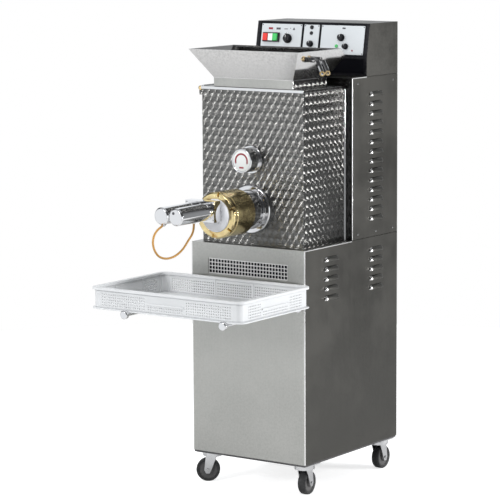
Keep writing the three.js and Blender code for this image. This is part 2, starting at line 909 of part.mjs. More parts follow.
// Outline of a gear with involute flanks, the middle of one tooth at the angle phase.
function gearOutline(teeth, phase) {
  const pitch = (gearModule * teeth) / 2;
  const base = pitch * Math.cos(pressureAngle);
  const tip = pitch + gearModule * addendumShare;
  const root = pitch - gearModule * dedendumShare;
  const involute = (radius) => {
    const a = Math.acos(base / Math.max(base, radius));
    return Math.tan(a) - a;
  };
  const halfTooth = Math.PI / (2 * teeth) - backlash / (4 * pitch) + involute(pitch);
  const points = [];
  for (let tooth = 0; tooth < teeth; tooth++) {
    const middle = phase + (2 * Math.PI * tooth) / teeth;
    const flank = [root, pitch, tip].map((radius) => [radius, halfTooth - involute(radius)]);
    for (const [radius, half] of flank) points.push(polar(radius, middle - half));
    for (const [radius, half] of flank.reverse()) points.push(polar(radius, middle + half));
  }
  return points;
}

function polar(radius, angle) {
  return [radius * Math.cos(angle), radius * Math.sin(angle)];
}

// The phase of a gear in mesh with a driver, the line from driver to gear lying at angle.
function meshPhase(driverTeeth, driverPhase, teeth, angle) {
  const driverShare = ((angle - driverPhase) * driverTeeth) / (2 * Math.PI);
  return angle + Math.PI - ((0.5 - driverShare) * 2 * Math.PI) / teeth;
}

function gear(teeth, phase) {
  return upright(outline(gearOutline(teeth, phase)), gearFront, gearWidth);
}

// Frame plate with the three bearings, and its foot on the deck
function gearFrame() {
  const low = cabinetTop + seat;
  const shape = rectangle(-frameMargin, low, motorX + frameMargin, mixerZ + frameMargin);
  shape.holes.push(circle(0, noseZ, driveShaftRadius + seat, roundSteps));
  shape.holes.push(circle(0, mixerZ, mixerShaftRadius + seat, roundSteps));
  shape.holes.push(circle(motorX, noseZ, motorShaftRadius + seat, roundSteps));
  const foot = box(-frameMargin, frameFront, low, motorX + frameMargin, frameBack + frameFoot, low + framePlate);
  return join(upright(shape, frameFront, framePlate), foot);
}

function driveMotor() {
  const body = turned([
    [0, motorFront],
    [motorFlangeRadius, motorFront],
    [motorFlangeRadius, motorFront + motorFlange],
    [motorRadius, motorFront + motorFlange],
    [motorRadius, motorBack - cowlLength],
    [cowlRadius, motorBack - cowlLength],
    [cowlRadius, motorBack],
    [0, motorBack],
  ]);
  const middle = (motorFront + motorBack) / 2;
  const terminal = box(
    -terminalBox / 2,
    middle - terminalBox / 2,
    motorRadius - terminalRise / 2,
    terminalBox / 2,
    middle + terminalBox / 2,
    motorRadius + terminalRise,
  );
  const bore = rod(motorShaftRadius + seat, motorFront - overrun, motorFront + motorShaftGrip + seat);
  return cut(join(body, terminal), bore).translate(motorX, 0, noseZ);
}

function drive() {
  const mixerPhase = meshPhase(screwTeeth, 0, mixerTeeth, Math.PI / 2);
  const pinionPhase = meshPhase(screwTeeth, 0, pinionTeeth, 0);
  const mixerBore = rod(mixerShaftRadius + seat, gearFront - overrun, gearBack + overrun);
  piece("mixer_gear", cut(gear(mixerTeeth, mixerPhase), mixerBore), iron).position.z = mixerZ;
  const pinionShaft = rod(motorShaftRadius, gearFront - gearGap / 2, motorFront + motorShaftGrip);
  const pinion = piece("motor_pinion", join(gear(pinionTeeth, pinionPhase), pinionShaft), iron);
  pinion.position.set(motorX, 0, noseZ);
  piece("gear_frame", gearFrame(), iron);
  piece("drive_motor", driveMotor(), iron);
}

// Barrel with its flange, screw, nut and die, all on the nose axis

function barrel() {
  const back = housingBack;
  const flangeBack = housingFront - seat;
  const tube = turned([
    [boreRadius, barrelFront],
    [threadRadius, barrelFront],
    [threadRadius, headFront],
    [headRadius, headFront],
    [headRadius, flangeFront],
    [flangeRadius - flangeRim, flangeFront],
    [flangeRadius, flangeFront + flangeRim],
    [flangeRadius, flangeBack],
    [barrelRadius, flangeBack],
    [barrelRadius, back],
    [driveShaftRadius + seat, back],
    [driveShaftRadius + seat, back - barrelEnd],
    [boreRadius, back - barrelEnd],
  ], fineSteps);
  const slot = box(-feedHalf, feedFront, 0, feedHalf, feedFront + feedLength, barrelRadius + overrun);
  return cut(tube, slot);
}

function ringNut() {
  const bore = threadRadius + running;
  const inner = nutFront + nutLip;
  const ring = turned([
    [nutMouth, nutFront],
    [nutRadius, nutFront],
    [nutRadius, nutBack],
    [bore, nutBack],
    [bore, inner],
    [nutMouth, inner],
  ], fineSteps);
  const notches = [];
  for (let i = 0; i < nutNotches; i++) {
    const hole = rod(notchRadius, nutRadius - notchDepth, nutRadius + overrun, holeSteps);
    hole.rotateZ((2 * Math.PI * (i + 0.5)) / nutNotches);
    notches.push(hole.rotateX(Math.PI / 2).translate(0, nutFront + 2 * nutLip, 0));
  }
  return cut(ring, ...notches);
}

function die() {
  const back = barrelFront - seat;
  const step = back - dieShoulder;
  const disc = turned([
    [0, dieFace],
    [nutMouth - running, dieFace],
    [nutMouth - running, step],
    [threadRadius, step],
    [threadRadius, back],
    [0, back],
  ], fineSteps);
  const holes = [];
  for (let i = 0; i < dieHoles; i++) {
    const [x, z] = polar(dieHoleCircle, (2 * Math.PI * i) / dieHoles);
    holes.push(rod(dieHoleRadius, dieFace - overrun, back + overrun, dieHoleSteps).translate(x, 0, z));
  }
  const socket = rod(spigotRadius + seat, dieFace - overrun, dieFace + spigotDepth + seat, smallSteps);
  return cut(disc, socket, ...holes);
}

// One surface wound round the Y axis: a pointed tip, the shaft with its flight, and the plain drive end.
function screwBody() {
  const tip = barrelFront + screwTip;
  const start = tip + screwShaftRadius;
  const back = housingBack - barrelEnd - running;
  const crestHalf = (Math.PI * flightCrest) / flightPitch;
  const rootHalf = (Math.PI * flightRoot) / flightPitch;
  const angles = [-crestHalf, crestHalf];
  for (let i = 0; i <= rootSteps; i++) {
    angles.push(rootHalf + (2 * (Math.PI - rootHalf) * i) / rootSteps);
  }
  const turns = (back - start) / flightPitch;
  const steps = Math.round(turns * turnSteps);
  const positions = [];
  const ring = (along, turn, crest, root) => {
    angles.forEach((angle, i) => {
      const radius = i < 2 ? crest : root;
      const place = angle + 2 * Math.PI * turn;
      positions.push(radius * Math.cos(place), along, radius * Math.sin(place));
    });
  };
  for (let i = 0; i <= steps; i++) {
    const share = i / steps;
    ring(start + (back - start) * share, turns * share, boreRadius - screwGap, screwShaftRadius);
  }
  ring(back, turns, driveShaftRadius, driveShaftRadius);
  ring(frameBack, turns, driveShaftRadius, driveShaftRadius);
  positions.push(0, tip, 0, 0, frameBack, 0);
  const count = angles.length;
  const rings = steps + 2;
  const index = [];
  for (let j = 0; j < count; j++) {
    const next = (j + 1) % count;
    for (let i = 0; i < rings; i++) {
      const a = i * count + j;
      const b = i * count + next;
      index.push(a, a + count, b, b, a + count, b + count);
    }
    const last = rings * count;
    index.push(last + count, j, next, last + count + 1, last + next, last + j);
  }
  const geometry = new THREE.BufferGeometry();
  geometry.setAttribute("position", new THREE.Float32BufferAttribute(positions, 3));
  geometry.setIndex(index);
  return geometry;
}

function screw() {
  return join(screwBody(), gear(screwTeeth, 0));
}

function nose() {
  const parts = [
    ["barrel", barrel(), polished],
    ["ring_nut", ringNut(), brass],
    ["die", die(), white],
    ["extrusion_screw", screw(), polished],
  ];
  for (const [name, geometry, look] of parts) piece(name, geometry, look).position.z = noseZ;
}

// Mixing tank, mixer and knob

function troughOutline(inset) {
  const radius = tankRadius - inset;
  const points = [[-tankHalf + inset, tankTop]];
  for (let i = 0; i <= smallSteps; i++) {
    const angle = Math.PI + (Math.PI * i) / smallSteps;
    points.push([radius * Math.cos(angle), mixerZ + radius * Math.sin(angle)]);
  }
  points.push([tankHalf - inset, tankTop]);
  return points;
}

function tank() {
  const outer = upright(outline(troughOutline(0)), tankFront, tankBack - tankFront);
  const open = troughOutline(tankSheet);
  open[0] = [open[0][0], tankTop + overrun];
  open[open.length - 1] = [open[open.length - 1][0], tankTop + overrun];
  const hollow = upright(outline(open), tankFront + tankSheet, tankBack - tankFront - 2 * tankSheet);
  const slot = box(-feedHalf, feedFront, noseZ, feedHalf, feedFront + feedLength, noseZ + barrelRadius + feedHalf);
  const bore = rod(mixerShaftRadius + seat, tankFront - overrun, tankBack + overrun).translate(0, 0, mixerZ);
  return cut(outer, hollow, slot, bore);
}

function mixer() {
  const first = tankFront + tankSheet + paddleGap + paddleWidth / 2;
  const last = tankBack - tankSheet - paddleGap - paddleWidth / 2;
  const reach = tankRadius - tankSheet - paddleGap;
  const paddles = [];
  for (let i = 0; i < paddleCount; i++) {
    const y = first + ((last - first) * i) / (paddleCount - 1);
    const arm = rod(armRadius, 0, reach - paddleThickness / 2, holeSteps).rotateX(Math.PI / 2);
    const blade = box(
      -paddleWidth / 2,
      -paddleWidth / 2,
      reach - paddleWidth,
      -paddleWidth / 2 + paddleThickness,
      paddleWidth / 2,
      reach - paddleThickness,
    );
    blade.translate(paddleWidth / 2 - paddleThickness / 2, 0, 0);
    for (const shape of [arm, blade]) paddles.push(shape.rotateY(paddleTurn * i).translate(0, y, 0));
  }
  return join(rod(mixerShaftRadius, tankFront - seat, frameBack), ...paddles);
}

function knob() {
  const back = housingFront - seat;
  const front = back - knobBase - knobLength;
  return turned([
    [0, front],
    [knobRadius - knobEdge, front],
    [knobRadius, front + knobEdge],
    [knobRadius, back - knobBase],
    [knobBaseRadius, back - knobBase],
    [knobBaseRadius, back],
    [knobStemRadius, back],
    [knobStemRadius, tankFront - 2 * seat],
    [0, tankFront - 2 * seat],
  ], fineSteps);
}

function mixing() {
  piece("mixing_tank", tank(), polished);
  piece("mixer_shaft", mixer(), polished).position.z = mixerZ;
  piece("mixer_knob", knob(), polished).position.z = mixerZ;
}

// Cutter unit: blade, carrier, two cylinders side by side and a cable

function cutterCarrier() {
  const left = cylinderX - cylinderRadius;
  const low = cutterRise - cutterHeight / 2;
  const block = box(left, blockFront, low, cylinderRadius, blockBack, low + cutterHeight);
  const spigot = rod(spigotRadius, blockBack - overrun, dieFace + spigotDepth, smallSteps);
  const gland = rod(glandRadius, 0, glandHeight + overrun, smallSteps)
    .rotateX(Math.PI / 2)
    .translate(cylinderX, blockFront + carrierGlandInset, low - glandHeight);
  return join(block, spigot, gland);
}

function blade() {
  const middle = (dieFace + blockBack) / 2;
  const hub = rod(bladeHub, middle - bladeThickness, middle + bladeThickness, smallSteps);
  const strip = box(
    -bladeWidth / 2,
    middle - bladeThickness / 2,
    0,
    bladeWidth / 2,
    middle + bladeThickness / 2,
    bladeReach,
  );
  const bore = rod(spigotRadius + seat, middle - overrun, middle + overrun, smallSteps);
  return cut(join(hub, strip), bore);
}

function cutterCylinder() {
  const back = blockFront - seat;
  const front = back - motorCylinderLength;
  return turned([
    [0, front],
    [cylinderRadius - cylinderEdge, front],
    [cylinderRadius, front + cylinderEdge],
    [cylinderRadius, back],
    [0, back],
  ]);
}

// Where the gearbox gland leaves the cylinder
const boxGland = [0, blockFront - motorCylinderLength + glandInset, -cylinderRadius];

function gearboxCylinder() {
  const gland = rod(glandRadius, -glandHeight, 2 * overrun, smallSteps)
    .rotateX(Math.PI / 2 - glandLean)
    .translate(0, boxGland[1], boxGland[2]);
  return join(cutterCylinder(), gland);
}

// The cable hangs in one loop from the gland on the gearbox to the gland on the carrier.
function cable() {
  const foot = -cutterHeight / 2 - glandHeight - seat;
  const boxExit = (reach) => [
    boxGland[1] - reach * Math.sin(glandLean),
    boxGland[2] - reach * Math.cos(glandLean),
  ];
  const loop = [
    [-186.1, -42], [-203.9, -57.3], [-210.9, -77.7], [-204.2, -102], [-182.2, -125], [-145.1, -137.5],
    [-99.1, -136], [-57.1, -120.5], [-23.1, -94], [-1.2, -74.4], [5.9, -58.6],
    [carrierGlandInset - 0.1, foot - 4], [carrierGlandInset, foot],
  ];
  const route = [
    boxExit(glandHeight + seat),
    boxExit(glandHeight + 3 * cableRadius),
    ...loop.map(([y, z]) => [blockFront + y, z]),
  ];
  const curve = new THREE.CatmullRomCurve3(route.map((p) => new THREE.Vector3(0, ...p)), false, "centripetal");
  return new THREE.ExtrudeGeometry(circle(0, 0, cableRadius, cableSides, THREE.Shape), {
    steps: cableSteps,
    extrudePath: curve,
  });
}

function cutter() {
  piece("cutter_blade", blade(), polished).position.z = noseZ;
  piece("cutter_carrier", cutterCarrier(), polished).position.z = noseZ;
  piece("cutter_motor", cutterCylinder(), polished).position.z = cutterZ;
  piece("cutter_gearbox", gearboxCylinder(), polished).position.set(cylinderX, 0, cutterZ);
  piece("cutter_cable", cable(), cableSkin).position.set(cylinderX, 0, cutterZ);
}

// Tray on two rods

function roundedRectangle(width, depth, radius) {
  const x = width / 2;
  const y = depth / 2;
  const shape = new THREE.Shape();
  shape.moveTo(-x + radius, -y);
  shape.absarc(x - radius, -y + radius, radius, -Math.PI / 2, 0);
  shape.absarc(x - radius, y - radius, radius, 0, Math.PI / 2);
  shape.absarc(-x + radius, y - radius, radius, Math.PI / 2, Math.PI);
  shape.absarc(-x + radius, -y + radius, radius, Math.PI, 1.5 * Math.PI);
  return shape;
}

function tray() {
  const wallWidth = trayWidth - 2 * trayFlange;
  const wallDepth = trayDepth - 2 * trayFlange;
  const corner = trayCorner - trayFlange;
  const rim = level(roundedRectangle(trayWidth, trayDepth, trayCorner), trayHeight - trayRim, trayRim);
  const walls = level(roundedRectangle(wallWidth, wallDepth, corner), 0, trayHeight);
  const foot = level(roundedRectangle(trayWidth, trayDepth, trayCorner), 0, trayFloor);
  const inside = roundedRectangle(wallWidth - 2 * trayWall, wallDepth - 2 * trayWall, corner - trayWall);
  const hollow = level(inside, trayFloor, trayHeight);
  return cut(join(rim, walls, foot), hollow);
}

function trayRod() {
  const front = -rodReach;
  return turned([
    [0, front],
    [rodCapRadius, front],
    [rodCapRadius, front + rodCapLength],
    [rodRadius, front + rodCapLength],
    [rodRadius, -seat - rodCollarLength],
    [rodCollarRadius, -seat - rodCollarLength],
    [rodCollarRadius, -seat],
    [0, -seat],
  ], smallSteps);
}

function trayStand() {
  piece("tray", tray(), white).position.set(trayX, trayFrontY + trayDepth / 2, trayZ);
  piece("tray_rod_left", trayRod(), polished).position.set(rodShift - rodSpacing / 2, 0, rodZ);
  piece("tray_rod_right", trayRod(), polished).position.set(rodShift + rodSpacing / 2, 0, rodZ);
}

// Casters

function casterPlaces() {
  const x = halfWidth - casterInsetX;
  return [
    [-x, casterInsetY],
    [x, casterInsetY],
    [-x, cabinetDepth - casterInsetY],
    [x, cabinetDepth - casterInsetY],
  ];
}

// The fork in its own frame: swivel axis at the origin, wheel trailing towards +X.
function fork() {
  const top = panLow - casterPlate - seat;
  const crownTop = top - raceHeight;
  const crownLow = crownTop - forkCrown;
  const legInner = wheelWidth / 2 + forkGap;
  const legOuter = legInner + forkSheet;
  const race = rod(raceRadius, crownTop - forkCrown / 2, top, smallSteps).rotateX(Math.PI / 2);
  const crownEnd = forkTrail + forkEye / 2;
  const crown = box(-raceRadius / 2, -legOuter, crownLow, crownEnd, legOuter, crownTop);
  const side = outline([
    [-raceRadius / 2, crownTop],
    [forkTrail - forkEye, axleZ],
    [forkTrail - forkEye / 2, axleZ - forkEye],
    [forkTrail + forkEye / 2, axleZ - forkEye],
    [forkTrail + forkEye, axleZ],
    [crownEnd, crownTop],
  ]);
  const legs = [upright(side, -legOuter, forkSheet), upright(side, legInner, forkSheet)];
  const axle = rod(axleRadius, -legOuter - forkSheet, legOuter + forkSheet, smallSteps).translate(forkTrail, 0, axleZ);
  return join(crown, race, ...legs, axle);
}

function wheel() {
  const half = wheelWidth / 2;
  const hub = half + forkGap - running / 2;
  return turned([
    [axleRadius + seat, -hub],
    [hubRadius, -hub],
    [wheelRadius - 2 * wheelEdge, -half],
    [wheelRadius, -half + wheelEdge],
    [wheelRadius, half - wheelEdge],
    [wheelRadius - 2 * wheelEdge, half],
    [hubRadius, hub],
    [axleRadius + seat, hub],
  ], wheelSteps).rotateY(Math.PI / wheelSteps);
}

function casters() {
  const names = ["front_left", "front_right", "rear_left", "rear_right"];
  casterPlaces().forEach(([x, y], i) => {
    const caster = new THREE.Group();
    caster.position.set(x, y, 0);
    caster.rotation.z = casterAngles[i];
    machine.add(caster);
    piece("caster_fork_" + names[i], fork(), polished, caster);
    piece("caster_wheel_" + names[i], wheel(), rubber, caster).position.set(forkTrail, 0, axleZ);
  });
}

cabinet();
blower();
consoleUnit();
tankHousing();
drive();
nose();
mixing();
cutter();
trayStand();
casters();

// The origin is under the middle of the whole outline, on the floor.
machine.position.set(-trayX, -(cabinetDepth - rodReach) / 2, 0);
const root = new THREE.Group();
root.add(machine);

export default root;
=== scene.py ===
"""Pasta machine: the stage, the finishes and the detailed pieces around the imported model."""

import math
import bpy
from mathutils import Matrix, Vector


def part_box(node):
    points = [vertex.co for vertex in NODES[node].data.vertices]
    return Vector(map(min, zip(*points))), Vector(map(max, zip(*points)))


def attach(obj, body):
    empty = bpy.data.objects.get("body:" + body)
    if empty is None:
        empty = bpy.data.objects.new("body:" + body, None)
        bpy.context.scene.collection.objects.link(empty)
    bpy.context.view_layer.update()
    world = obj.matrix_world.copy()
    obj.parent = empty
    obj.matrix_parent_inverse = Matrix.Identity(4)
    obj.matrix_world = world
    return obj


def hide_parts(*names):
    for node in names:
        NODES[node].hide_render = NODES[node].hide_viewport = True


bl_info = {
    "name": "Pasta machine",
    "version": (1, 0, 0),
    "blender": (4, 5, 0),
    "location": "3D View > Sidebar > Pasta machine",
    "description": "Dresses the packed pasta machine and sets it in a pale studio",
    "category": "Object",
}

import bmesh
import bpy
from mathutils import Matrix, Vector

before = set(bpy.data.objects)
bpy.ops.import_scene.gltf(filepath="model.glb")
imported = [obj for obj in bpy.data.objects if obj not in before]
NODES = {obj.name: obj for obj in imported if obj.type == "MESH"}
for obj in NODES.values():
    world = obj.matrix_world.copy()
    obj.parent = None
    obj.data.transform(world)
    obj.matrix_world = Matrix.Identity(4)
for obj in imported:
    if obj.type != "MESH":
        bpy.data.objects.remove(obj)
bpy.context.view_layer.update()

MM = 0.001
FRONT_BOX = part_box("lower_front_panel")
FRONT_EDGE = ((FRONT_BOX[0].x + FRONT_BOX[1].x) / 2, FRONT_BOX[0].y, 0)
# Millimetres from the middle of the cabinet's front edge, on the floor, become metres in the model's frame.
PLACE = Matrix.Translation(FRONT_EDGE) @ Matrix.Diagonal((MM, MM, MM, 1))
BACK = PLACE.inverted()

CABINET_HALF = 225
CABINET_DEPTH = 570
CABINET_FOOT = 112.5
CABINET_TOP = 820
REAR_FRONT = 286
REAR_TOP = 1360
NOSE_Z = 940
CUTTER_Z = 957
MOTOR_X = 0
GEARBOX_X = -57
MIXER_Z = 1102.5
KNEE_Y = 375
KNEE_Z = 1420
LEAN = math.atan2(21, 114)


# Settings


def size_setting(name, description, default):
    return bpy.props.FloatProperty(name=name, description=description, default=default, unit="LENGTH")


def colour_setting(name, description, default):
    return bpy.props.FloatVectorProperty(
        name=name, description=description, default=default, subtype="COLOR", size=3, min=0, max=1
    )


class MachineSizes(bpy.types.PropertyGroup):
    edge: size_setting("Sheet edge", "Rounding of the sheet metal edges", 0.0006)
    louvre_reach: size_setting("Louvre reach", "How far a louvre stands out", 0.0085)
    louvre_height: size_setting("Louvre height", "Height of a louvre hood", 0.0155)
    spot_pitch: size_setting("Spot pitch", "Distance between engine-turned spots in a row", 0.0255)
    spot_rows: size_setting("Spot rows", "Distance between rows of spots", 0.028)
    spot_radius: size_setting("Spot radius", "Radius of one engine-turned spot", 0.0195)
    tray_hole: size_setting("Tray hole", "Width of a hole in the tray's walls", 0.0041)
    tray_pitch: size_setting("Tray hole pitch", "Distance between holes in the tray's walls", 0.0088)


class MachineColours(bpy.types.PropertyGroup):
    steel: colour_setting("Steel", "Satin steel of the front", (0.42, 0.42, 0.40))
    # The folds take a lighter copy of this steel as a painted highlight along the sheets' edges.
    bright_steel: colour_setting(
        "Bright steel", "Smoother steel of the hopper, the folds and the grille", (0.70, 0.69, 0.68)
    )
    # Painted shade: the sides are the front's stainless sheet, darkened to stand in for the dark reflection
    # that they show.
    side_steel: colour_setting("Side steel", "Warm steel of the sides", (0.080, 0.078, 0.072))
    turned: colour_setting("Turned steel", "Engine-turned housing", (0.18, 0.178, 0.172))
    chrome: colour_setting("Chrome", "Polished pieces", (0.80, 0.80, 0.81))
    brass: colour_setting("Brass", "Ring nut and hinge", (0.92, 0.67, 0.35))
    plate: colour_setting("Plate", "Console plates", (0.64, 0.67, 0.69))
    black: colour_setting("Black", "Console and dials", (0.006, 0.006, 0.009))
    tray: colour_setting("Tray", "White plastic of the tray", (0.66, 0.67, 0.68))
    cable: colour_setting("Cable", "Skin of the cutter's cable", (0.50, 0.25, 0.045))
    floor: colour_setting("Floor", "Floor and background", (0.93, 0.93, 0.93))


# Wiring of materials


class Graph:
    """A node tree that is being wired."""

    def __init__(self, tree):
        self.tree = tree
        tree.nodes.clear()

    def add(self, kind, links=None, **settings):
        node = self.tree.nodes.new("ShaderNode" + kind)
        for key, value in settings.items():
            setattr(node, key, value)
        for key, value in (links or {}).items():
            self.feed(node.inputs[key], value)
        return node

    def feed(self, socket, value):
        if isinstance(value, bpy.types.NodeSocket):
            self.tree.links.new(value, socket)
        else:
            socket.default_value = value

    def group(self, tree, links):
        return self.add("Group", links, node_tree=tree).outputs

    def math(self, operation, *values):
        return self.add("Math", dict(enumerate(values)), operation=operation).outputs[0]

    def vector(self, operation, *values):
        return self.add("VectorMath", dict(enumerate(values)), operation=operation).outputs[0]

    def combine(self, *values):
        return self.add("CombineXYZ", dict(enumerate(values))).outputs[0]

    def length(self, value):
        return self.add("VectorMath", {0: value}, operation="LENGTH").outputs["Value"]

    def spread(self, value, low, high, to_low=0.0, to_high=1.0, smooth=False):
        links = {"Value": value, "From Min": low, "From Max": high, "To Min": to_low, "To Max": to_high}
        kind = "SMOOTHSTEP" if smooth else "LINEAR"
        return self.add("MapRange", links, interpolation_type=kind).outputs[0]

    def mix(self, share, a, b):
        return self.add("Mix", {0: share, 6: a, 7: b}, data_type="RGBA").outputs[2]

    def choose(self, share, a, b):
        return self.add("Mix", {0: share, 4: a, 5: b}, data_type="VECTOR").outputs[1]

    def noise(self, vector, scale, detail=2.0, roughness=0.5):
        links = {"Vector": vector, "Scale": scale, "Detail": detail, "Roughness": roughness}
        return self.add("TexNoise", links).outputs["Fac"]


def rgba(colour):
    return (*colour, 1.0)


def shade(colour, share):
    return tuple(min(1.0, c * share) for c in colour)


def group(name, inputs, outputs, wire):
    """A shader node group with named sockets, made once."""
    if name in bpy.data.node_groups:
        return bpy.data.node_groups[name]
    tree = bpy.data.node_groups.new(name, "ShaderNodeTree")
    graph = Graph(tree)
    for label, kind, default in inputs:
        socket = tree.interface.new_socket(label, in_out="INPUT", socket_type="NodeSocket" + kind)
        if default is not None:
            socket.default_value = default
    for label in outputs:
        tree.interface.new_socket(label, in_out="OUTPUT", socket_type="NodeSocketFloat")
    source = tree.nodes.new("NodeGroupInput")
    sink = tree.nodes.new("NodeGroupOutput")
    for label, value in wire(graph, source.outputs).items():
        tree.links.new(value, sink.inputs[label])
    return tree


def grain_group():
    """Fine lines of brushing or turning, with slow patches."""

    def wire(graph, given):
        stretched = graph.vector("MULTIPLY", given["Vector"], given["Stretch"])
        lines = graph.noise(stretched, 1.0, 3.0, 0.65)
        coarser = graph.vector("MULTIPLY", stretched, (0.23, 0.23, 0.23))
        bands = graph.noise(coarser, 1.0, 2.0)
        patches = graph.noise(given["Vector"], given["Patch Scale"], 3.0, 0.6)
        both = graph.math("MULTIPLY_ADD", bands, 0.5, graph.math("MULTIPLY", lines, 0.5))
        return {"Lines": both, "Patches": graph.spread(patches, 0.32, 0.68, smooth=True)}

    inputs = [("Vector", "Vector", None), ("Stretch", "Vector", (1, 1, 1)), ("Patch Scale", "Float", 6.0)]
    return group("Grain", inputs, ["Lines", "Patches"], wire)


def wear_and_sheen_group():
    """Lighter sharp edges and fine speckle, from the pointiness and the place: rubbed wear on plastic and
    paint, a painted highlight on steel.
    """

    def wire(graph, given):
        edge = graph.spread(given["Pointiness"], 0.515, 0.58)
        broken = graph.noise(given["Vector"], 140.0, 3.0, 0.7)
        rubbed = graph.math("MULTIPLY", edge, graph.spread(broken, 0.35, 0.6))
        speckle = graph.noise(given["Vector"], given["Speckle Scale"], 2.0, 0.6)
        return {"Edge": rubbed, "Speckle": speckle}

    inputs = [("Vector", "Vector", None), ("Pointiness", "Float", 0.5), ("Speckle Scale", "Float", 900.0)]
    return group("Wear and sheen", inputs, ["Edge", "Speckle"], wire)


# Of an engine-turned spot: waves and scratches per metre of its radius, and what sets each spot's seed apart.
RING_WAVES, SCRATCHES, ROW_SEED, SEED_PHASE = 2600.0, 1300.0, 17.3, 1.7


def turning_group():
    """Rows of overlapping discs with rings, each row moved along by the drift, the later disc on top, and a
    mask that rises towards each disc's rim for painted shade.
    """

    def around(graph, given):
        """The four discs that can cover a point: the point's place on each, and the disc's seed."""
        place = graph.add("SeparateXYZ", {0: given["Vector"]})
        across = graph.math("DIVIDE", place.outputs[0], given["Pitch"])
        up = graph.math("DIVIDE", place.outputs[1], given["Rows"])
        rise = graph.math("FRACT", up)
        row = graph.math("FLOOR", up)
        for offset in (0, 1):
            moved = graph.math("MULTIPLY_ADD", graph.math("ADD", row, offset), given["Drift"], across)
            share = graph.math("FRACT", moved)
            column = graph.math("FLOOR", moved)
            for step in (0, 1):
                x = graph.math("MULTIPLY", graph.math("SUBTRACT", share, step), given["Pitch"])
                y = graph.math("MULTIPLY", graph.math("SUBTRACT", rise, offset), given["Rows"])
                next_column = graph.math("ADD", column, step)
                yield x, y, graph.math("MULTIPLY_ADD", graph.math("ADD", row, offset), ROW_SEED, next_column)

    def wire(graph, given):
        picked = None
        for x, y, seed in around(graph, given):
            disc = graph.combine(x, y, seed)
            if picked is None:
                picked = disc
            else:
                inside = graph.math("LESS_THAN", graph.length(graph.combine(x, y)), given["Radius"])
                picked = graph.choose(inside, picked, disc)
        final = graph.add("SeparateXYZ", {0: picked})
        radius = graph.length(graph.combine(final.outputs[0], final.outputs[1]))
        seed = final.outputs[2]
        along = graph.math("MULTIPLY", radius, RING_WAVES)
        wave = graph.math("SINE", graph.math("ADD", along, graph.math("MULTIPLY", seed, SEED_PHASE)))
        scratch = graph.noise(graph.combine(graph.math("MULTIPLY", radius, SCRATCHES), seed), 1.0, 1.0)
        rings = graph.math("MULTIPLY_ADD", wave, 0.5, graph.math("MULTIPLY", scratch, 0.35))
        # Rises towards the disc's rim; the material darkens its colour by it as painted shade.
        rim = graph.spread(graph.math("DIVIDE", radius, given["Radius"]), 0.62, 1.0, smooth=True)
        return {"Rings": rings, "Rim shade": rim, "Tone": graph.noise(graph.combine(seed), 3.0)}

    sizes = [("Pitch", 0.026), ("Rows", 0.028), ("Radius", 0.02), ("Drift", 0.3)]
    inputs = [("Vector", "Vector", None), *((label, "Float", default) for label, default in sizes)]
    return group("Engine turning", inputs, ["Rings", "Rim shade", "Tone"], wire)


def new_material(name):
    material = bpy.data.materials.new(name)
    material.use_nodes = True
    return material, Graph(material.node_tree)


def close(graph, links, height, depth, **constants):
    """The Principled shader and the output. height lies between 0 and 1, and depth is its metres."""
    bump = graph.add("Bump", {"Height": height, "Strength": 1.0, "Distance": depth})
    shader = graph.add("BsdfPrincipled", {**links, "Normal": bump.outputs[0], **constants})
    graph.add("OutputMaterial", {"Surface": shader.outputs[0]})


def tones(graph, share, colour, contrast):
    """The colour, a little darker and lighter by the share."""
    return graph.mix(share, rgba(shade(colour, 1 - contrast)), rgba(shade(colour, 1 + contrast)))


def wear_and_sheen_edges(graph, place, grain=900.0):
    pointed = graph.add("NewGeometry").outputs["Pointiness"]
    return graph.group(wear_and_sheen_group(), {"Vector": place, "Pointiness": pointed, "Speckle Scale": grain})


def brushed(name, colour, rough, stretch, depth=0.00002, contrast=0.12, metallic=1.0, patch=5.0, edge=0.0):
    """Metal with grain. stretch is the grain's frequency along X, Y and Z, and edge is how much the sharp
    edges are lightened as a painted highlight.
    """
    material, graph = new_material(name)
    place = graph.add("TexCoord").outputs["Object"]
    lines, patches = graph.group(grain_group(), {"Vector": place, "Stretch": stretch, "Patch Scale": patch})
    edge_highlight = wear_and_sheen_edges(graph, place)["Edge"]
    mixed = graph.math("MULTIPLY_ADD", patches, 0.4, graph.math("MULTIPLY", lines, 0.6))
    base = tones(graph, mixed, colour, contrast)
    # Painted highlight: the sharp edges turn lighter, as if they caught the light.
    base = graph.mix(graph.math("MULTIPLY", edge_highlight, edge), base, rgba(shade(colour, 1.5)))
    roughness = graph.spread(mixed, 0.2, 0.8, rough * 0.8, rough * 1.2)
    close(graph, {"Base Color": base, "Roughness": roughness}, lines, depth, Metallic=metallic)
    return material


def moulded(
    name, colour, rough, depth=0.00003, grain=900.0, contrast=0.06, worn=0.25, coat=0.0, glow=0.0, gloss=0.5
):
    """Plastic or paint: fine speckle, slow patches and lighter rubbed edges."""
    material, graph = new_material(name)
    place = graph.add("TexCoord").outputs["Object"]
    edges, speckle = wear_and_sheen_edges(graph, place, grain)
    patches = graph.noise(place, 9.0, 3.0, 0.6)
    base = tones(graph, graph.spread(patches, 0.3, 0.7), colour, contrast)
    paler = tuple(c + (1 - c) * 0.25 for c in colour)
    base = graph.mix(graph.math("MULTIPLY", edges, worn), base, rgba(paler))
    mixed = graph.math("MULTIPLY_ADD", patches, 0.5, graph.math("MULTIPLY", speckle, 0.5))
    links = {"Base Color": base, "Roughness": graph.spread(mixed, 0.3, 0.7, rough * 0.85, rough * 1.15)}
    links.update({"Coat Weight": coat, "Coat Roughness": 0.12, "Specular IOR Level": gloss})
    if glow:
        links.update({"Emission Color": rgba(colour), "Emission Strength": glow})
    close(graph, links, speckle, depth)
    return material


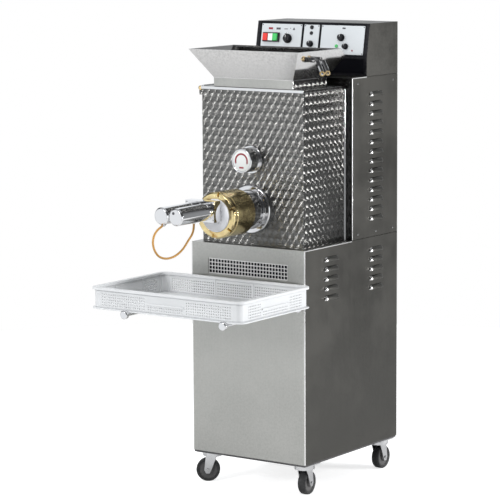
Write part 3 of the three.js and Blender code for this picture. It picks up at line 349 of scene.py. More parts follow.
def engine_turned(name, colour, rough, drift):
    """Steel with overlapping turned spots, laid out in metres on the UV map; each spot's rim is darkened as
    painted shade.
    """
    sizes = bpy.context.scene.machine_sizes
    material, graph = new_material(name)
    links = {
        "Vector": graph.add("UVMap", uv_map="metres").outputs[0],
        "Pitch": sizes.spot_pitch,
        "Rows": sizes.spot_rows,
        "Radius": sizes.spot_radius,
        "Drift": drift,
    }
    rings, rim, tone = graph.group(turning_group(), links)
    # Painted shade: each spot is darker towards its rim, where the discs overlap; the random tone per spot is
    # the steel's own.
    tone = graph.math("MULTIPLY_ADD", rim, -0.6, graph.spread(tone, 0.3, 0.7, 0.75, 1.0))
    base = graph.mix(tone, rgba(shade(colour, 0.6)), rgba(shade(colour, 1.1)))
    patches = graph.noise(graph.add("TexCoord").outputs["Object"], 7.0, 3.0)
    dull = graph.math("MULTIPLY_ADD", rim, 0.3, patches)
    roughness = graph.spread(dull, 0.3, 1.0, rough * 0.8, rough * 1.5)
    close(graph, {"Base Color": base, "Roughness": roughness}, rings, 0.00028, Metallic=1.0)
    return material


UPRIGHT, LEVEL, FINE = (1500, 1500, 9), (8, 8, 1500), (500, 500, 500)


def finish_table(colours):
    """Each finish: its maker, colour and roughness, and what else the maker takes."""
    bright, side, spotted = colours.bright_steel, colours.side_steel, colours.turned
    chrome, brass, black = colours.chrome, colours.brass, colours.black
    # edge on the steels lightens their sharp edges: a painted highlight.
    hopper = dict(stretch=LEVEL, edge=0.8)
    drawn = dict(stretch=UPRIGHT, depth=0.000008, contrast=0.1)
    hammered = dict(stretch=(60, 60, 60), depth=0.00055, contrast=0.2)
    printed = dict(stretch=(9, 900, 900), depth=0.00001, contrast=0.06, metallic=0.35)
    # lit gives the red and green caps a faint glow: painted light on the stop and start buttons, which are no
    # lamps; the green fan lamp's lens shares it.
    lit = dict(coat=0.4, glow=0.12)
    return {
        "satin steel": (brushed, colours.steel, 0.36, dict(stretch=UPRIGHT, contrast=0.14, edge=0.3)),
        # The sides' steel is a darkened copy of the front steel: painted shade.
        "side steel": (brushed, side, 0.42, dict(stretch=UPRIGHT, contrast=0.1, edge=0.5)),
        # The louvre hoods take a lighter copy of the side steel's painted shade, and their front ends a
        # bright steel as a painted highlight.
        "louvre steel": (brushed, shade(side, 1.25), 0.36, dict(stretch=UPRIGHT, contrast=0.1, edge=0.5)),
        "drawn steel": (brushed, shade(bright, 1.1), 0.26, drawn),
        "hopper steel": (brushed, shade(bright, 0.92), 0.19, dict(hopper, depth=0.000012, contrast=0.1)),
        "hopper polish": (brushed, shade(bright, 1.05), 0.09, dict(hopper, depth=0.000004, contrast=0.08)),
        # The folds take a much lighter copy of the steel: a painted highlight along the sheets' edges.
        "fold steel": (brushed, shade(bright, 1.3), 0.3, dict(stretch=(60, 60, 9), depth=0.000005)),
        "grille steel": (brushed, shade(bright, 1.2), 0.3, dict(stretch=LEVEL, contrast=0.08)),
        "inner steel": (brushed, shade(bright, 0.9), 0.22, dict(stretch=LEVEL, contrast=0.1)),
        "turned steel": (engine_turned, spotted, 0.17, dict(drift=0.31)),
        # Darker copies of the turned steel, for the sides and for the bulkhead in the housing's shade:
        # painted shade.
        "side turned steel": (engine_turned, shade(spotted, 0.58), 0.17, dict(drift=0.08)),
        "dark turned steel": (engine_turned, shade(spotted, 0.5), 0.17, dict(drift=0.5)),
        "chrome": (brushed, chrome, 0.07, dict(stretch=FINE, depth=0.000002, contrast=0.03)),
        "turned chrome": (brushed, shade(chrome, 0.9), 0.07, hammered),
        "caster chrome": (brushed, shade(chrome, 0.85), 0.16, dict(stretch=FINE, depth=0.00001)),
        "brass": (brushed, brass, 0.17, dict(stretch=(80, 45, 80), depth=0.00025, contrast=0.3, patch=40.0)),
        "brass pin": (brushed, brass, 0.25, dict(stretch=FINE, depth=0.00001, contrast=0.15)),
        "plate": (brushed, colours.plate, 0.45, printed),
        "gear iron": (brushed, (0.28, 0.28, 0.29), 0.45, dict(stretch=FINE, contrast=0.2, metallic=0.9)),
        "dark frame": (moulded, black, 0.5, dict(depth=0.00001, contrast=0.2, worn=0.15, gloss=0.15)),
        "black plastic": (moulded, black, 0.33, dict(contrast=0.2, worn=0.3, gloss=0.3)),
        # Near-black for the base frame's band under the front panel: a real frame, painted as dark as the
        # shadow line under the panel.
        "pan paint": (moulded, (0.02, 0.019, 0.02), 0.5, dict(contrast=0.25, worn=0.3)),
        "fan plastic": (moulded, (0.008, 0.008, 0.014), 0.5, dict(contrast=0.2, gloss=0.2)),
        "red plastic": (moulded, (0.75, 0.03, 0.02), 0.3, lit),
        "green plastic": (moulded, (0.05, 0.52, 0.12), 0.3, lit),
        "lamp white": (moulded, (0.88, 0.93, 0.90), 0.3, dict(coat=0.3, glow=0.1)),
        "die plastic": (moulded, (0.86, 0.87, 0.90), 0.38, dict(contrast=0.03)),
        "knob cap": (moulded, (0.72, 0.74, 0.73), 0.35, dict(contrast=0.02)),
        "mark red": (moulded, (0.28, 0.003, 0.02), 0.5, dict(contrast=0.05, gloss=0.2)),
        "mark dark": (moulded, (0.04, 0.04, 0.05), 0.45, dict(contrast=0.1)),
        "motor paint": (moulded, (0.10, 0.13, 0.15), 0.45, dict(depth=0.00015, grain=300.0)),
        "cable skin": (moulded, colours.cable, 0.42, dict(contrast=0.2, grain=1500.0)),
        "tray plastic": (moulded, colours.tray, 0.42, dict(contrast=0.025, worn=0.3)),
        "wheel rubber": (moulded, (0.02, 0.02, 0.021), 0.6, dict(depth=0.00008, grain=500.0, contrast=0.25)),
        "wheel core": (moulded, (0.09, 0.088, 0.088), 0.5, dict(contrast=0.15)),
    }


FINISHES = {}


def finish(name):
    """The material of that name, made when it is first asked for."""
    if name not in FINISHES:
        maker, colour, rough, details = finish_table(bpy.context.scene.machine_colours)[name]
        FINISHES[name] = maker(name, colour, rough, **details)
    return FINISHES[name]


def plain(name):
    """The same finish without its lighter edges (rubbed wear on plastic, a painted highlight on steel),
    because the triangles of a CAD node are loose.
    """
    if name + " plain" not in FINISHES:
        material = finish(name).copy()
        material.name = name + " plain"
        links = material.node_tree.links
        for link in [entry for entry in links if entry.to_socket.name == "Pointiness"]:
            links.remove(link)
        FINISHES[name + " plain"] = material
    return FINISHES[name + " plain"]


# Modelling, in millimetres


def at(x, y, z):
    return Matrix.Translation((x, y, z))


def turned(degrees, axis, size=4):
    return Matrix.Rotation(math.radians(degrees), size, axis)


def faces_of(verts):
    return {face for vert in verts for face in vert.link_faces}


def verts_in(result):
    return [item for item in result["geom"] if isinstance(item, bmesh.types.BMVert)]


def block(bm, low, high):
    middle = Vector([a + b for a, b in zip(low, high)]) / 2
    size = [b - a for a, b in zip(low, high)]
    shape = Matrix.Translation(middle) @ Matrix.Diagonal((*size, 1))
    return bmesh.ops.create_cube(bm, size=1, matrix=shape)["verts"]


def spun(bm, profile, centre=(0, 0, 0), axis=(0, 1, 0), steps=64):
    """Turns [radius, distance along the axis] pairs about the axis through centre."""
    axis = Vector(axis).normalized()
    centre = Vector(centre)
    side = axis.orthogonal().normalized()
    verts = [bm.verts.new(centre + side * radius + axis * along) for radius, along in profile]
    ring = verts + ([verts[0]] if profile[0][0] > 0 and profile[-1][0] > 0 else [])
    edges = [bm.edges.new(pair) for pair in zip(ring, ring[1:])]
    known = set(bm.verts) - set(verts)
    full = dict(cent=centre, axis=axis, dvec=(0, 0, 0), angle=2 * math.pi, steps=steps, use_merge=True)
    bmesh.ops.spin(bm, geom=verts + edges, **full)
    bmesh.ops.remove_doubles(bm, verts=[v for v in bm.verts if v not in known], dist=0.001)
    return [v for v in bm.verts if v not in known]


def both_sides(half):
    """A profile whose second half mirrors the first."""
    return half + [(radius, -along) for radius, along in reversed(half)]


def arrow_head(bm, radius, matrix):
    size = dict(radius1=radius, radius2=radius, depth=0.3)
    bmesh.ops.create_cone(bm, cap_ends=True, segments=3, matrix=matrix, **size)


def raised_screw(bm, centre, axis, radius, height):
    """A low pan head."""
    rim = [(0, height), (radius * 0.6, height), (radius * 0.92, height * 0.6), (radius, 0), (0, 0)]
    spun(bm, rim, centre, axis, steps=20)


def copies(bm, verts, matrices):
    """Copies of a shape at each matrix; the first one takes the place of the shape itself."""
    whole = list(verts) + list({e for v in verts for e in v.link_edges}) + list(faces_of(verts))
    for matrix in matrices[1:]:
        made = bmesh.ops.duplicate(bm, geom=whole)
        bmesh.ops.transform(bm, matrix=matrix, verts=verts_in(made))
    bmesh.ops.transform(bm, matrix=matrices[0], verts=list(verts))


def map_faces(bm):
    """Lays each face flat along its main direction, in metres, as the UV map; upside down on the sides."""
    layer = bm.loops.layers.uv.new("metres")
    for face in bm.faces:
        main = max(range(3), key=lambda i: abs(face.normal[i]))
        across, up = ((1, 2), (0, 2), (0, 1))[main]
        sense = -1 if main == 0 else 1
        for loop in face.loops:
            loop[layer].uv = (loop.vert.co[across], loop.vert.co[up] * sense)


def listed(value):
    return [value] if isinstance(value, str) else value


def piece(
    name, bm, body, finishes, slot, replaces=(), edge=0.0, segments=2, crease=30, wall=0.0, spot=None, rim=-1
):
    """Makes an object from the bmesh, hangs it on its body and hides the CAD nodes that it replaces.

    edge and wall are in millimetres. spot is where the bmesh lies on the machine, "there" if it already does.
    rim is the index of the finish on the rounded edges.
    """
    if spot != "there":
        bmesh.ops.remove_doubles(bm, verts=bm.verts, dist=0.001)
        bmesh.ops.recalc_face_normals(bm, faces=bm.faces)
        bmesh.ops.transform(bm, matrix=PLACE @ (spot or Matrix.Identity(4)), verts=bm.verts)
    bm.normal_update()
    map_faces(bm)
    mesh = bpy.data.meshes.new(name)
    bm.to_mesh(mesh)
    bm.free()
    mesh.shade_smooth()
    mesh.set_sharp_from_angle(angle=math.radians(crease))
    obj = bpy.data.objects.new(name, mesh)
    bpy.context.scene.collection.objects.link(obj)
    for look in listed(finishes):
        mesh.materials.append(finish(look))
    if wall:
        shell = obj.modifiers.new("Wall", "SOLIDIFY")
        shell.thickness = wall * MM
        shell.offset = -1
    if edge:
        bevel = obj.modifiers.new("Edges", "BEVEL")
        bevel.width = edge * MM
        bevel.segments = segments
        bevel.limit_method = "ANGLE"
        bevel.angle_limit = math.radians(crease)
        bevel.harden_normals = True
        bevel.material = rim
    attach(obj, body)
    if replaces:
        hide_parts(*listed(replaces))


def softened(node, body, finishes, slot, edge=None, paint=None, rim=-1):
    """A copy of a CAD node with rounded edges. paint gives each face the index of its finish."""
    bm = bmesh.new()
    bm.from_mesh(NODES[node].data)
    bmesh.ops.remove_doubles(bm, verts=bm.verts, dist=0.00001)
    bmesh.ops.dissolve_limit(bm, angle_limit=math.radians(0.8), verts=bm.verts, edges=bm.edges)
    bm.normal_update()
    if paint:
        for face in bm.faces:
            face.material_index = paint(face.normal, BACK @ face.calc_center_median())
    if edge is None:
        edge = bpy.context.scene.machine_sizes.edge / MM
    piece(node + "_finish", bm, body, finishes, slot, node, edge=edge, spot="there", rim=rim)


def dress(look, *nodes):
    """Puts a finish on CAD nodes that keep their shape."""
    for node in nodes:
        if not NODES[node].material_slots:
            NODES[node].data.materials.append(plain(look))
        for entry in NODES[node].material_slots:
            entry.material = plain(look)


class Maker:
    """What every operator of the machine shares."""

    bl_options = {"REGISTER", "UNDO"}

    def execute(self, context):
        self.make(context)
        return {"FINISHED"}


# Stage


# The camera that was fitted to the photograph: its place in millimetres, and its three directions.
CAMERA_LENS, CAMERA_SENSOR = 178.23, 36
CAMERA_PLACE = (4595.5, -6577.7, 1946.5)
CAMERA_RIGHT = (0.8208126, 0.5711703, -0.0055827)
CAMERA_UP = (-0.0757702, 0.1185642, 0.9900512)
CAMERA_AHEAD = (-0.5661497, 0.8122235, -0.1405966)

LAMP_AIM = (0.03, 0.1, 0.95)
# Each lamp: its place, width, height and power, and whether polished metal shows it.
LAMPS = {
    "Key": ((-0.75, -3.9, 2.5), 0.62, 0.62, 22, False),
    "Top": ((0.5, -1.6, 4.6), 1.4, 1.2, 60, False),
    "Side": ((4.31, 2.70, 2.30), 0.8, 0.8, 60, False),
    "Left": ((-3.4, -1.6, 1.8), 1.6, 2.4, 22, False),
    "Front glint": ((-1.38, -5.61, 2.77), 1.25, 1.25, 95, True),
    "Side glint": ((6.98, 3.31, 1.30), 1.6, 1.6, 400, True),
}

# What polished metal sees: the direction of each pale surface, where it fades in and out, and its level.
ROOM = (
    ((-0.57, -0.81, -0.08), 0.70, 0.96, 1.0),
    ((-0.45, 0.84, 0.3), 0.62, 0.85, 1.0),
    ((0.57, 0.81, -0.14), 0.70, 0.98, 0.30),
    ((0.78, -0.54, -0.14), 0.95, 0.99, 1.3),
    ((-0.3, -0.2, -0.93), 0.55, 0.9, 0.6),
    ((0.0, 0.0, 1.0), 0.5, 0.95, 0.55),
)
DIM_ROOM, SOFT_LIGHT, FLOOR_GLOW, FLOOR_RADIUS = 0.06, 0.53, 0.66, 3.2


class PASTA_OT_stage(Maker, bpy.types.Operator):
    """Sets up the camera, the floor, the lamps and the world"""

    bl_idname = "pasta.stage"
    bl_label = "Stage"

    def make(self, context):
        self.camera()
        self.floor()
        self.lamps()
        self.world()
        context.scene.view_settings.view_transform = "Standard"

    def linked(self, name, data):
        thing = bpy.data.objects.new(name, data)
        bpy.context.scene.collection.objects.link(thing)
        return thing

    def camera(self):
        data = bpy.data.cameras.new("Camera")
        data.sensor_width = CAMERA_SENSOR
        data.lens = CAMERA_LENS
        data.clip_end = 100
        camera = self.linked("Camera", data)
        turn = Matrix((CAMERA_RIGHT, CAMERA_UP, -Vector(CAMERA_AHEAD))).transposed().to_4x4()
        camera.matrix_world = Matrix.Translation(PLACE @ Vector(CAMERA_PLACE)) @ turn
        bpy.context.scene.camera = camera

    def floor(self):
        bm = bmesh.new()
        bmesh.ops.create_circle(bm, cap_ends=True, segments=96, radius=FLOOR_RADIUS)
        mesh = bpy.data.meshes.new("Floor")
        bm.to_mesh(mesh)
        bm.free()
        self.linked("Floor", mesh)
        material, graph = new_material("floor paper")
        tone = bpy.context.scene.machine_colours.floor
        path = graph.add("LightPath").outputs
        colour = graph.mix(path["Is Glossy Ray"], rgba(tone), rgba(shade(tone, 0.85)))
        seen = graph.math("MAXIMUM", path["Is Camera Ray"], path["Is Transmission Ray"])
        speckle = graph.noise(graph.add("TexCoord").outputs["Object"], 220.0, 3.0)
        bump = graph.add("Bump", {"Height": speckle, "Strength": 0.2, "Distance": 0.0005})
        links = {"Base Color": colour, "Roughness": 0.9, "Normal": bump.outputs[0]}
        paper = graph.add("BsdfPrincipled", links)
        strength = graph.math("MULTIPLY", seen, FLOOR_GLOW)
        glow = graph.add("Emission", {"Color": (1, 1, 1, 1), "Strength": strength})
        both = graph.add("AddShader", {0: paper.outputs[0], 1: glow.outputs[0]})
        graph.add("OutputMaterial", {"Surface": both.outputs[0]})
        mesh.materials.append(material)

    def lamps(self):
        for name, (place, width, height, power, mirrored) in LAMPS.items():
            data = bpy.data.lights.new(name, "AREA")
            data.shape = "RECTANGLE"
            data.size = width
            data.size_y = height
            data.energy = power
            lamp = self.linked(name, data)
            lamp.visible_glossy = mirrored
            aim = Vector(LAMP_AIM) - Vector(place)
            lamp.matrix_world = Matrix.Translation(place) @ aim.to_track_quat("-Z", "Y").to_matrix().to_4x4()

    def world(self):
        world = bpy.data.worlds.new("Studio")
        world.use_nodes = True
        bpy.context.scene.world = world
        graph = Graph(world.node_tree)
        path = graph.add("LightPath").outputs
        facing = graph.add("TexCoord").outputs["Generated"]
        room = DIM_ROOM
        for aim, low, high, level in ROOM:
            links = {0: facing, 1: Vector(aim).normalized()}
            along = graph.add("VectorMath", links, operation="DOT_PRODUCT").outputs["Value"]
            lit = graph.math("MULTIPLY", graph.spread(along, low, high, smooth=True), level)
            room = graph.math("MAXIMUM", lit, room)
        strength = graph.math("MULTIPLY", room, path["Is Glossy Ray"])
        strength = graph.math("MULTIPLY_ADD", path["Is Diffuse Ray"], SOFT_LIGHT, strength)
        light = graph.add("Background", {"Color": (0.95, 0.975, 1.0, 1), "Strength": strength})
        white = graph.add("Background", {"Color": (1, 1, 1, 1), "Strength": 1.0})
        direct = graph.math("MAXIMUM", path["Is Camera Ray"], path["Is Transmission Ray"])
        both = graph.add("MixShader", {0: direct, 1: light.outputs[0], 2: white.outputs[0]})
        graph.add("OutputWorld", {"Surface": both.outputs[0]})


# Cable of the cutter


# The cable's loop hangs in the plane of the gearbox; each point is its Y and Z.
CABLE_ROUTE = [
    (-386.72, 925.49), (-395.97, 921.18), (-411, 915), (-428.8, 899.7), (-435.8, 879.3), (-429.1, 855),
    (-407.1, 832), (-370, 819.5), (-324, 821), (-282, 836.5), (-248, 863), (-226.1, 882.6),
    (-219, 898.4), (-217.5, 910.7), (-217.4, 914.7),
]
CABLE_DIAMETER = 0.007
CABLE_POINTS = 38


def centripetal(points, steps):
    """Points along a centripetal curve through the route."""
    ends = [points[0] * 2 - points[1], *points, points[-1] * 2 - points[-2]]
    line = []
    for a, b, c, d in zip(ends, ends[1:], ends[2:], ends[3:]):
        knots = [0.0]
        for p, q in ((a, b), (b, c), (c, d)):
            knots.append(knots[-1] + math.sqrt((q - p).length))
        for i in range(steps):
            t = knots[1] + (knots[2] - knots[1]) * i / steps
            layer = [a, b, c, d]
            for width in (1, 2, 3):
                lows = [knots[k] if width < 3 else knots[1] for k in range(4 - width)]
                highs = [knots[k + width] if width < 3 else knots[2] for k in range(4 - width)]
                layer = [
                    p + (q - p) * ((t - low) / (high - low))
                    for p, q, low, high in zip(layer, layer[1:], lows, highs)
                ]
            line.append(layer[0])
    line.append(points[-1])
    return line


def evened(line, count):
    """The same line with its points spaced evenly, and its length."""
    runs = [0.0]
    for p, q in zip(line, line[1:]):
        runs.append(runs[-1] + (q - p).length)
    result = []
    k = 0
    for i in range(count):
        want = runs[-1] * i / (count - 1)
        while k < len(runs) - 2 and runs[k + 1] < want:
            k += 1
        share = (want - runs[k]) / (runs[k + 1] - runs[k])
        result.append(line[k] + (line[k + 1] - line[k]) * min(1.0, share))
    return result, runs[-1]


class PASTA_OT_cable(Maker, bpy.types.Operator):
    """Lays the cutter's cable in its loop"""

    bl_idname = "pasta.cable"
    bl_label = "Cutter cable"

    def make(self, context):
        route = [PLACE @ Vector((GEARBOX_X, y, z)) for y, z in CABLE_ROUTE]
        points, length = evened(centripetal(route, 12), CABLE_POINTS)
        data = bpy.data.curves.new("cutter_cable_run", "CURVE")
        data.dimensions = "3D"
        data.bevel_depth = CABLE_DIAMETER / 2
        data.bevel_resolution = 4
        data.resolution_u = 6
        data.use_fill_caps = True
        spline = data.splines.new("BEZIER")
        spline.bezier_points.add(len(points) - 1)
        for knot, point in zip(spline.bezier_points, points):
            knot.co = point
            knot.handle_left_type = knot.handle_right_type = "AUTO"
        cable = bpy.data.objects.new("cutter_cable_run", data)
        context.scene.collection.objects.link(cable)
        data.materials.append(finish("cable skin"))
        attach(cable, "cabinet")
        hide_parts("cutter_cable")
        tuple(points[0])


# Cabinet


PAN_TOP = 105.9
FOLD_PROUD = 0.5
FOLD_REACH = 4


class PASTA_OT_cabinet(Maker, bpy.types.Operator):
    """Finishes the panels of the cabinet and the rear body"""

    bl_idname = "pasta.cabinet"
    bl_label = "Cabinet"

    def make(self, context):
        def below_pan(normal, centre):
            return int(centre.z < PAN_TOP)

        # The side panels and the rear top plate take the darkened side steel: painted shade.
        for part in ("lower", "rear"):
            dress("side steel", part + "_side_panel_left", part + "_side_panel_right")
        dress("satin steel", "back_panel")
        dress("grille steel", "fan_grille")
        dress("fan plastic", "fan_housing", "fan_rotor")
        softened("lower_front_panel", "cabinet", "satin steel", "panel_steel")
        softened("deck_plate", "cabinet", "satin steel", "panel_steel")
        softened("rear_top_plate", "cabinet", "side steel", "panel_steel")
        # The bulkhead takes the darker turned steel: painted shade.
        softened("rear_bulkhead", "cabinet", "dark turned steel", "turned_steel")
        # The base frame's band under the front panel is near-black: painted shade for the shadow line there.
        softened("base_frame", "cabinet", ["pan paint", "caster chrome"], "dark_frame", paint=below_pan)
        self.folds()
        self.fasteners()

    def folds(self):
        """The rounded folds along the edges of the steel sheets, in a steel much lighter than the sheets: a
        painted highlight.
        """
        bm = bmesh.new()
        for side in (-1, 1):
            left, right = sorted((side * (CABINET_HALF + FOLD_PROUD), side * (CABINET_HALF - FOLD_REACH)))
            for (front, low), (back, high) in (
                ((REAR_FRONT - FOLD_PROUD, CABINET_TOP + 1.6), (REAR_FRONT + FOLD_REACH, REAR_TOP - 0.2)),
                ((REAR_FRONT - FOLD_PROUD, REAR_TOP - FOLD_REACH), (KNEE_Y + 2, REAR_TOP + FOLD_PROUD)),
                ((-0.4, CABINET_FOOT), (FOLD_REACH, CABINET_TOP - 0.2)),
                ((-0.4, CABINET_TOP - FOLD_REACH), (REAR_FRONT, CABINET_TOP + FOLD_PROUD)),
            ):
                block(bm, (left, front, low), (right, back, high))
        piece("sheet_folds", bm, "cabinet", "fold steel", "panel_steel", edge=2.0, segments=4)

    def fasteners(self):
        bm = bmesh.new()
        for side in (-1, 1):
            for y, z in ((432, 838), (320, 838), (540, 838), (320, 1340), (540, 1340)):
                raised_screw(bm, (side * (CABINET_HALF - 0.05), y, z), (side, 0, 0), 3.2, 1.6)
            for z in (150, 800, 860, 1340):
                raised_screw(bm, (side * 200, CABINET_DEPTH - 0.05, z), (0, 1, 0), 3.5, 1.8)
        piece("panel_screws", bm, "cabinet", "chrome", "polished_steel")


LOUVRE_LENGTH, LOUVRE_END, LOUVRE_PITCH, LOUVRE_DROP = 84, 13, 32, 4.6
# Each column of louvres: how far back it stands, the height of its top one, and how many it has.
LOUVRE_COLUMNS = ((157, 775, 5), (432, 775, 5), (432, 1298, 14))


class PASTA_OT_louvres(Maker, bpy.types.Operator):
    """Presses the louvre hoods into the side panels"""

    bl_idname = "pasta.louvres"
    bl_label = "Louvres"

    def make(self, context):
        sizes = context.scene.machine_sizes
        looks = ["louvre steel", "drawn steel"]
        for side, name in ((-1, "left"), (1, "right")):
            bm = self.hood(side, sizes.louvre_reach / MM, sizes.louvre_height / MM)
            x = side * (CABINET_HALF - 0.1)
            spots = [
                at(x, y, top - LOUVRE_PITCH * row - LOUVRE_DROP)
                for y, top, count in LOUVRE_COLUMNS
                for row in range(count)
            ]
            copies(bm, bm.verts[:], spots)
            piece("louvres_" + name, bm, "cabinet", looks, "panel_steel", crease=50, wall=1.1)

    def hood(self, side, reach, height):
        """One open hood: a quarter of a ball at each end, a straight run between, and a front end in lighter
        steel as a painted highlight.
        """
        bm = bmesh.new()
        straight = LOUVRE_LENGTH / 2 - LOUVRE_END
        bmesh.ops.create_uvsphere(bm, u_segments=16, v_segments=12, radius=1)
        for normal in ((1, 0, 0), (0, 1, 0), (0, 0, 1)):
            whole = bm.verts[:] + bm.edges[:] + bm.faces[:]
            cut = dict(dist=0.0001, plane_co=(0, 0, 0), plane_no=normal, clear_inner=True)
            bmesh.ops.bisect_plane(bm, geom=whole, **cut)
        bmesh.ops.transform(bm, matrix=Matrix.Diagonal((reach, LOUVRE_END, height, 1)), verts=bm.verts)
        bmesh.ops.translate(bm, vec=(0, straight, 0), verts=bm.verts)
        seam = [e for e in bm.edges if all(v.co.y < straight + 0.01 for v in e.verts)]
        run = bmesh.ops.extrude_edge_only(bm, edges=seam)
        bmesh.ops.translate(bm, vec=(0, -straight, 0), verts=verts_in(run))
        whole = bm.verts[:] + bm.edges[:] + bm.faces[:]
        bmesh.ops.mirror(bm, geom=whole, matrix=Matrix.Identity(4), merge_dist=0.01, axis="Y")
        # Painted highlight: the faces of the front end take the lighter steel.
        for face in bm.faces:
            face.material_index = int(face.calc_center_median().y < -straight)
        bmesh.ops.transform(bm, matrix=Matrix.Diagonal((side, 1, 1, 1)), verts=bm.verts)
        return bm


# Console


PLATES = {"left": (-207.0, -43.5), "middle": (-34.5, 26.6), "right": (35.6, 207.0)}
PLATE_FOOT, PLATE_TOP = 10.0, 107.0
# Each dial: its piece, its node and its body, then its radius and its place.
DIALS = (
    ("selector_knob", "mode_selector", "selector", 16, -97.45, 57.53),
    ("cutter_speed_knob", "cutter_speed_dial", "cutter_dial", 11, -3.95, 42.01),
    ("timer_knob", "timer_dial", "timer", 12.5, 116.98, 66.26),
    ("fan_knob", "fan_dial", "fan_control", 10, 136.7, 37.16),
)
# The ticks printed round each dial: their middle, their radius, their count and the degrees they span.
TICKS = (
    (-97.45, 57.5, 21, 7, 120),
    (-3.9, 42, 15, 11, 300),
    (116.96, 66.3, 17, 13, 300),
    (136.7, 37.2, 13.5, 11, 300),
)
# The middle and the size of each plain label, the red one first.
LABELS = (
    (-170, 90.5, 17, 7),
    (-139, 90.5, 17, 7),
    (-108, 90, 14, 2.4),
    (-90, 92.5, 2.6, 2.6),
    (124, 98, 12, 5),
)


def on_face(x=0.0, z=0.0):
    """The console's leaning face: X across, Z up the face, -Y outwards."""
    return at(x, KNEE_Y, KNEE_Z) @ Matrix.Rotation(-LEAN, 4, "X") @ at(0, 0, z)


class PASTA_OT_console(Maker, bpy.types.Operator):
    """Finishes the console's shell, backing and plates, with their screws and marks"""

    bl_idname = "pasta.console"
    bl_label = "Console"

    def make(self, context):
        def front(normal, centre):
            return int(normal.y < -0.7 and centre.z > REAR_TOP)

        # The shell's sides take the darkened side steel: painted shade.
        softened("console_shell", "cabinet", ["side steel", "dark frame"], "panel_steel", paint=front)
        dress("dark frame", "console_backing")
        for name in PLATES:
            softened("console_plate_" + name, "cabinet", "plate", "plate_aluminium", edge=0.3)
        softened("switch_block", "cabinet", "black plastic", "black_plastic", edge=1.2)
        self.screws()
        self.marks()
        self.caps()

    def screws(self):
        bm = bmesh.new()
        for low, high in PLATES.values():
            for x in (low + 4, high - 4):
                for z in (PLATE_FOOT + 4, PLATE_TOP - 4):
                    raised_screw(bm, (x, 0.55, z), (0, -1, 0), 2.0, 0.9)
        piece("plate_screws", bm, "cabinet", "mark dark", "black_plastic", spot=on_face())

    def marks(self):
        """Ticks round the dials, plain labels, the selector's arrow and a red stud."""
        dark = bmesh.new()
        red = bmesh.new()
        for x, z, radius, count, spread in TICKS:
            for i in range(count):
                tick = block(dark, (-0.35, 0.35, radius - 1.5), (0.35, 0.51, radius + 1.5))
                swing = turned(spread * (i / (count - 1) - 0.5), "Y")
                bmesh.ops.transform(dark, matrix=at(x, 0, z) @ swing, verts=tick)
        for bm, (x, z, width, height) in zip((red, dark, dark, dark, dark), LABELS):
            block(bm, (x - width / 2, 0.2, z - height / 2), (x + width / 2, 0.52, z + height / 2))
        arrow_head(dark, 6, at(-76, 0.38, 90) @ turned(90, "X"))
        spun(red, [(0, 0), (2.6, 0), (2.6, 1.2), (1.6, 1.7), (0, 1.7)], (164, 0.5, 24), (0, -1, 0), steps=20)
        piece("console_marks", dark, "cabinet", "mark dark", "black_plastic", spot=on_face())
        piece("console_red_marks", red, "cabinet", "mark red", "red_plastic", spot=on_face())

    def caps(self):
        """The round lens, the small cap under it and the green lamp."""
        black, green = ("black plastic", "black_plastic"), ("green plastic", "green_plastic")
        for name, node, radius, x, z, (look, slot) in (
            ("cutter_lens", "cutter_lamp", 7.0, -3.95, 98.3, black),
            ("fan_lens", "fan_lamp", 6.0, 100.7, 37.2, green),
            ("fuse_cap", (), 6.2, -3.95, 78.5, black),
        ):
            bm = bmesh.new()
            steps = ((1, 0), (1, 1.6), (0.86, 2.4), (0.78, 2.4), (0.66, 3.6), (0, 4.4))
            profile = [(0, 0)] + [(radius * share, along) for share, along in steps]
            spun(bm, profile, (x, 0.2, z), (0, -1, 0), steps=40)
            piece(name, bm, "cabinet", look, slot, node, edge=0.25, spot=on_face())


BUTTON_PITCH, BUTTON_Z, BUTTON_FACE = 20, 60.44, -8.8


class PASTA_OT_buttons(Maker, bpy.types.Operator):
    """Makes the stop button, the lamp and the start button"""

    bl_idname = "pasta.buttons"
    bl_label = "Buttons"

    def make(self, context):
        low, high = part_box("power_lamp")
        middle = (BACK @ ((low + high) / 2)).x
        # The stop and start caps glow faintly from their finish: painted light.
        for place, name, node, body, look, slot, proud in (
            (-1, "stop_cap", "stop_button", "stop", "red plastic", "red_plastic", 4),
            (0, "lamp_cap", "power_lamp", "cabinet", "lamp white", "lamp_white", 2),
            (1, "start_cap", "start_button", "start", "green plastic", "green_plastic", 4),
        ):
            bm = bmesh.new()
            x, z, top = middle + place * BUTTON_PITCH, BUTTON_Z, BUTTON_FACE - proud
            block(bm, (x - 9, top, z - 12), (x + 9, -4.2, z + 12))
            front = [f for f in bm.faces if f.calc_center_median().y < top + 0.01]
            bmesh.ops.inset_region(bm, faces=front, thickness=1.6, depth=0.0)
            bmesh.ops.translate(bm, vec=(0, 0.7, 0), verts=list({v for f in front for v in f.verts}))
            if place < 0:
                ring = [(3.0, 0), (4.2, 0), (4.2, 0.6), (3.0, 0.6)]
                spun(bm, ring, (x, top + 0.8, z), (0, -1, 0), steps=28)
            elif place > 0:
                block(bm, (x - 0.7, top + 0.2, z - 4), (x + 0.7, top + 0.8, z + 4))
            piece(name, bm, body, look, slot, node, edge=0.7, segments=3, spot=on_face())


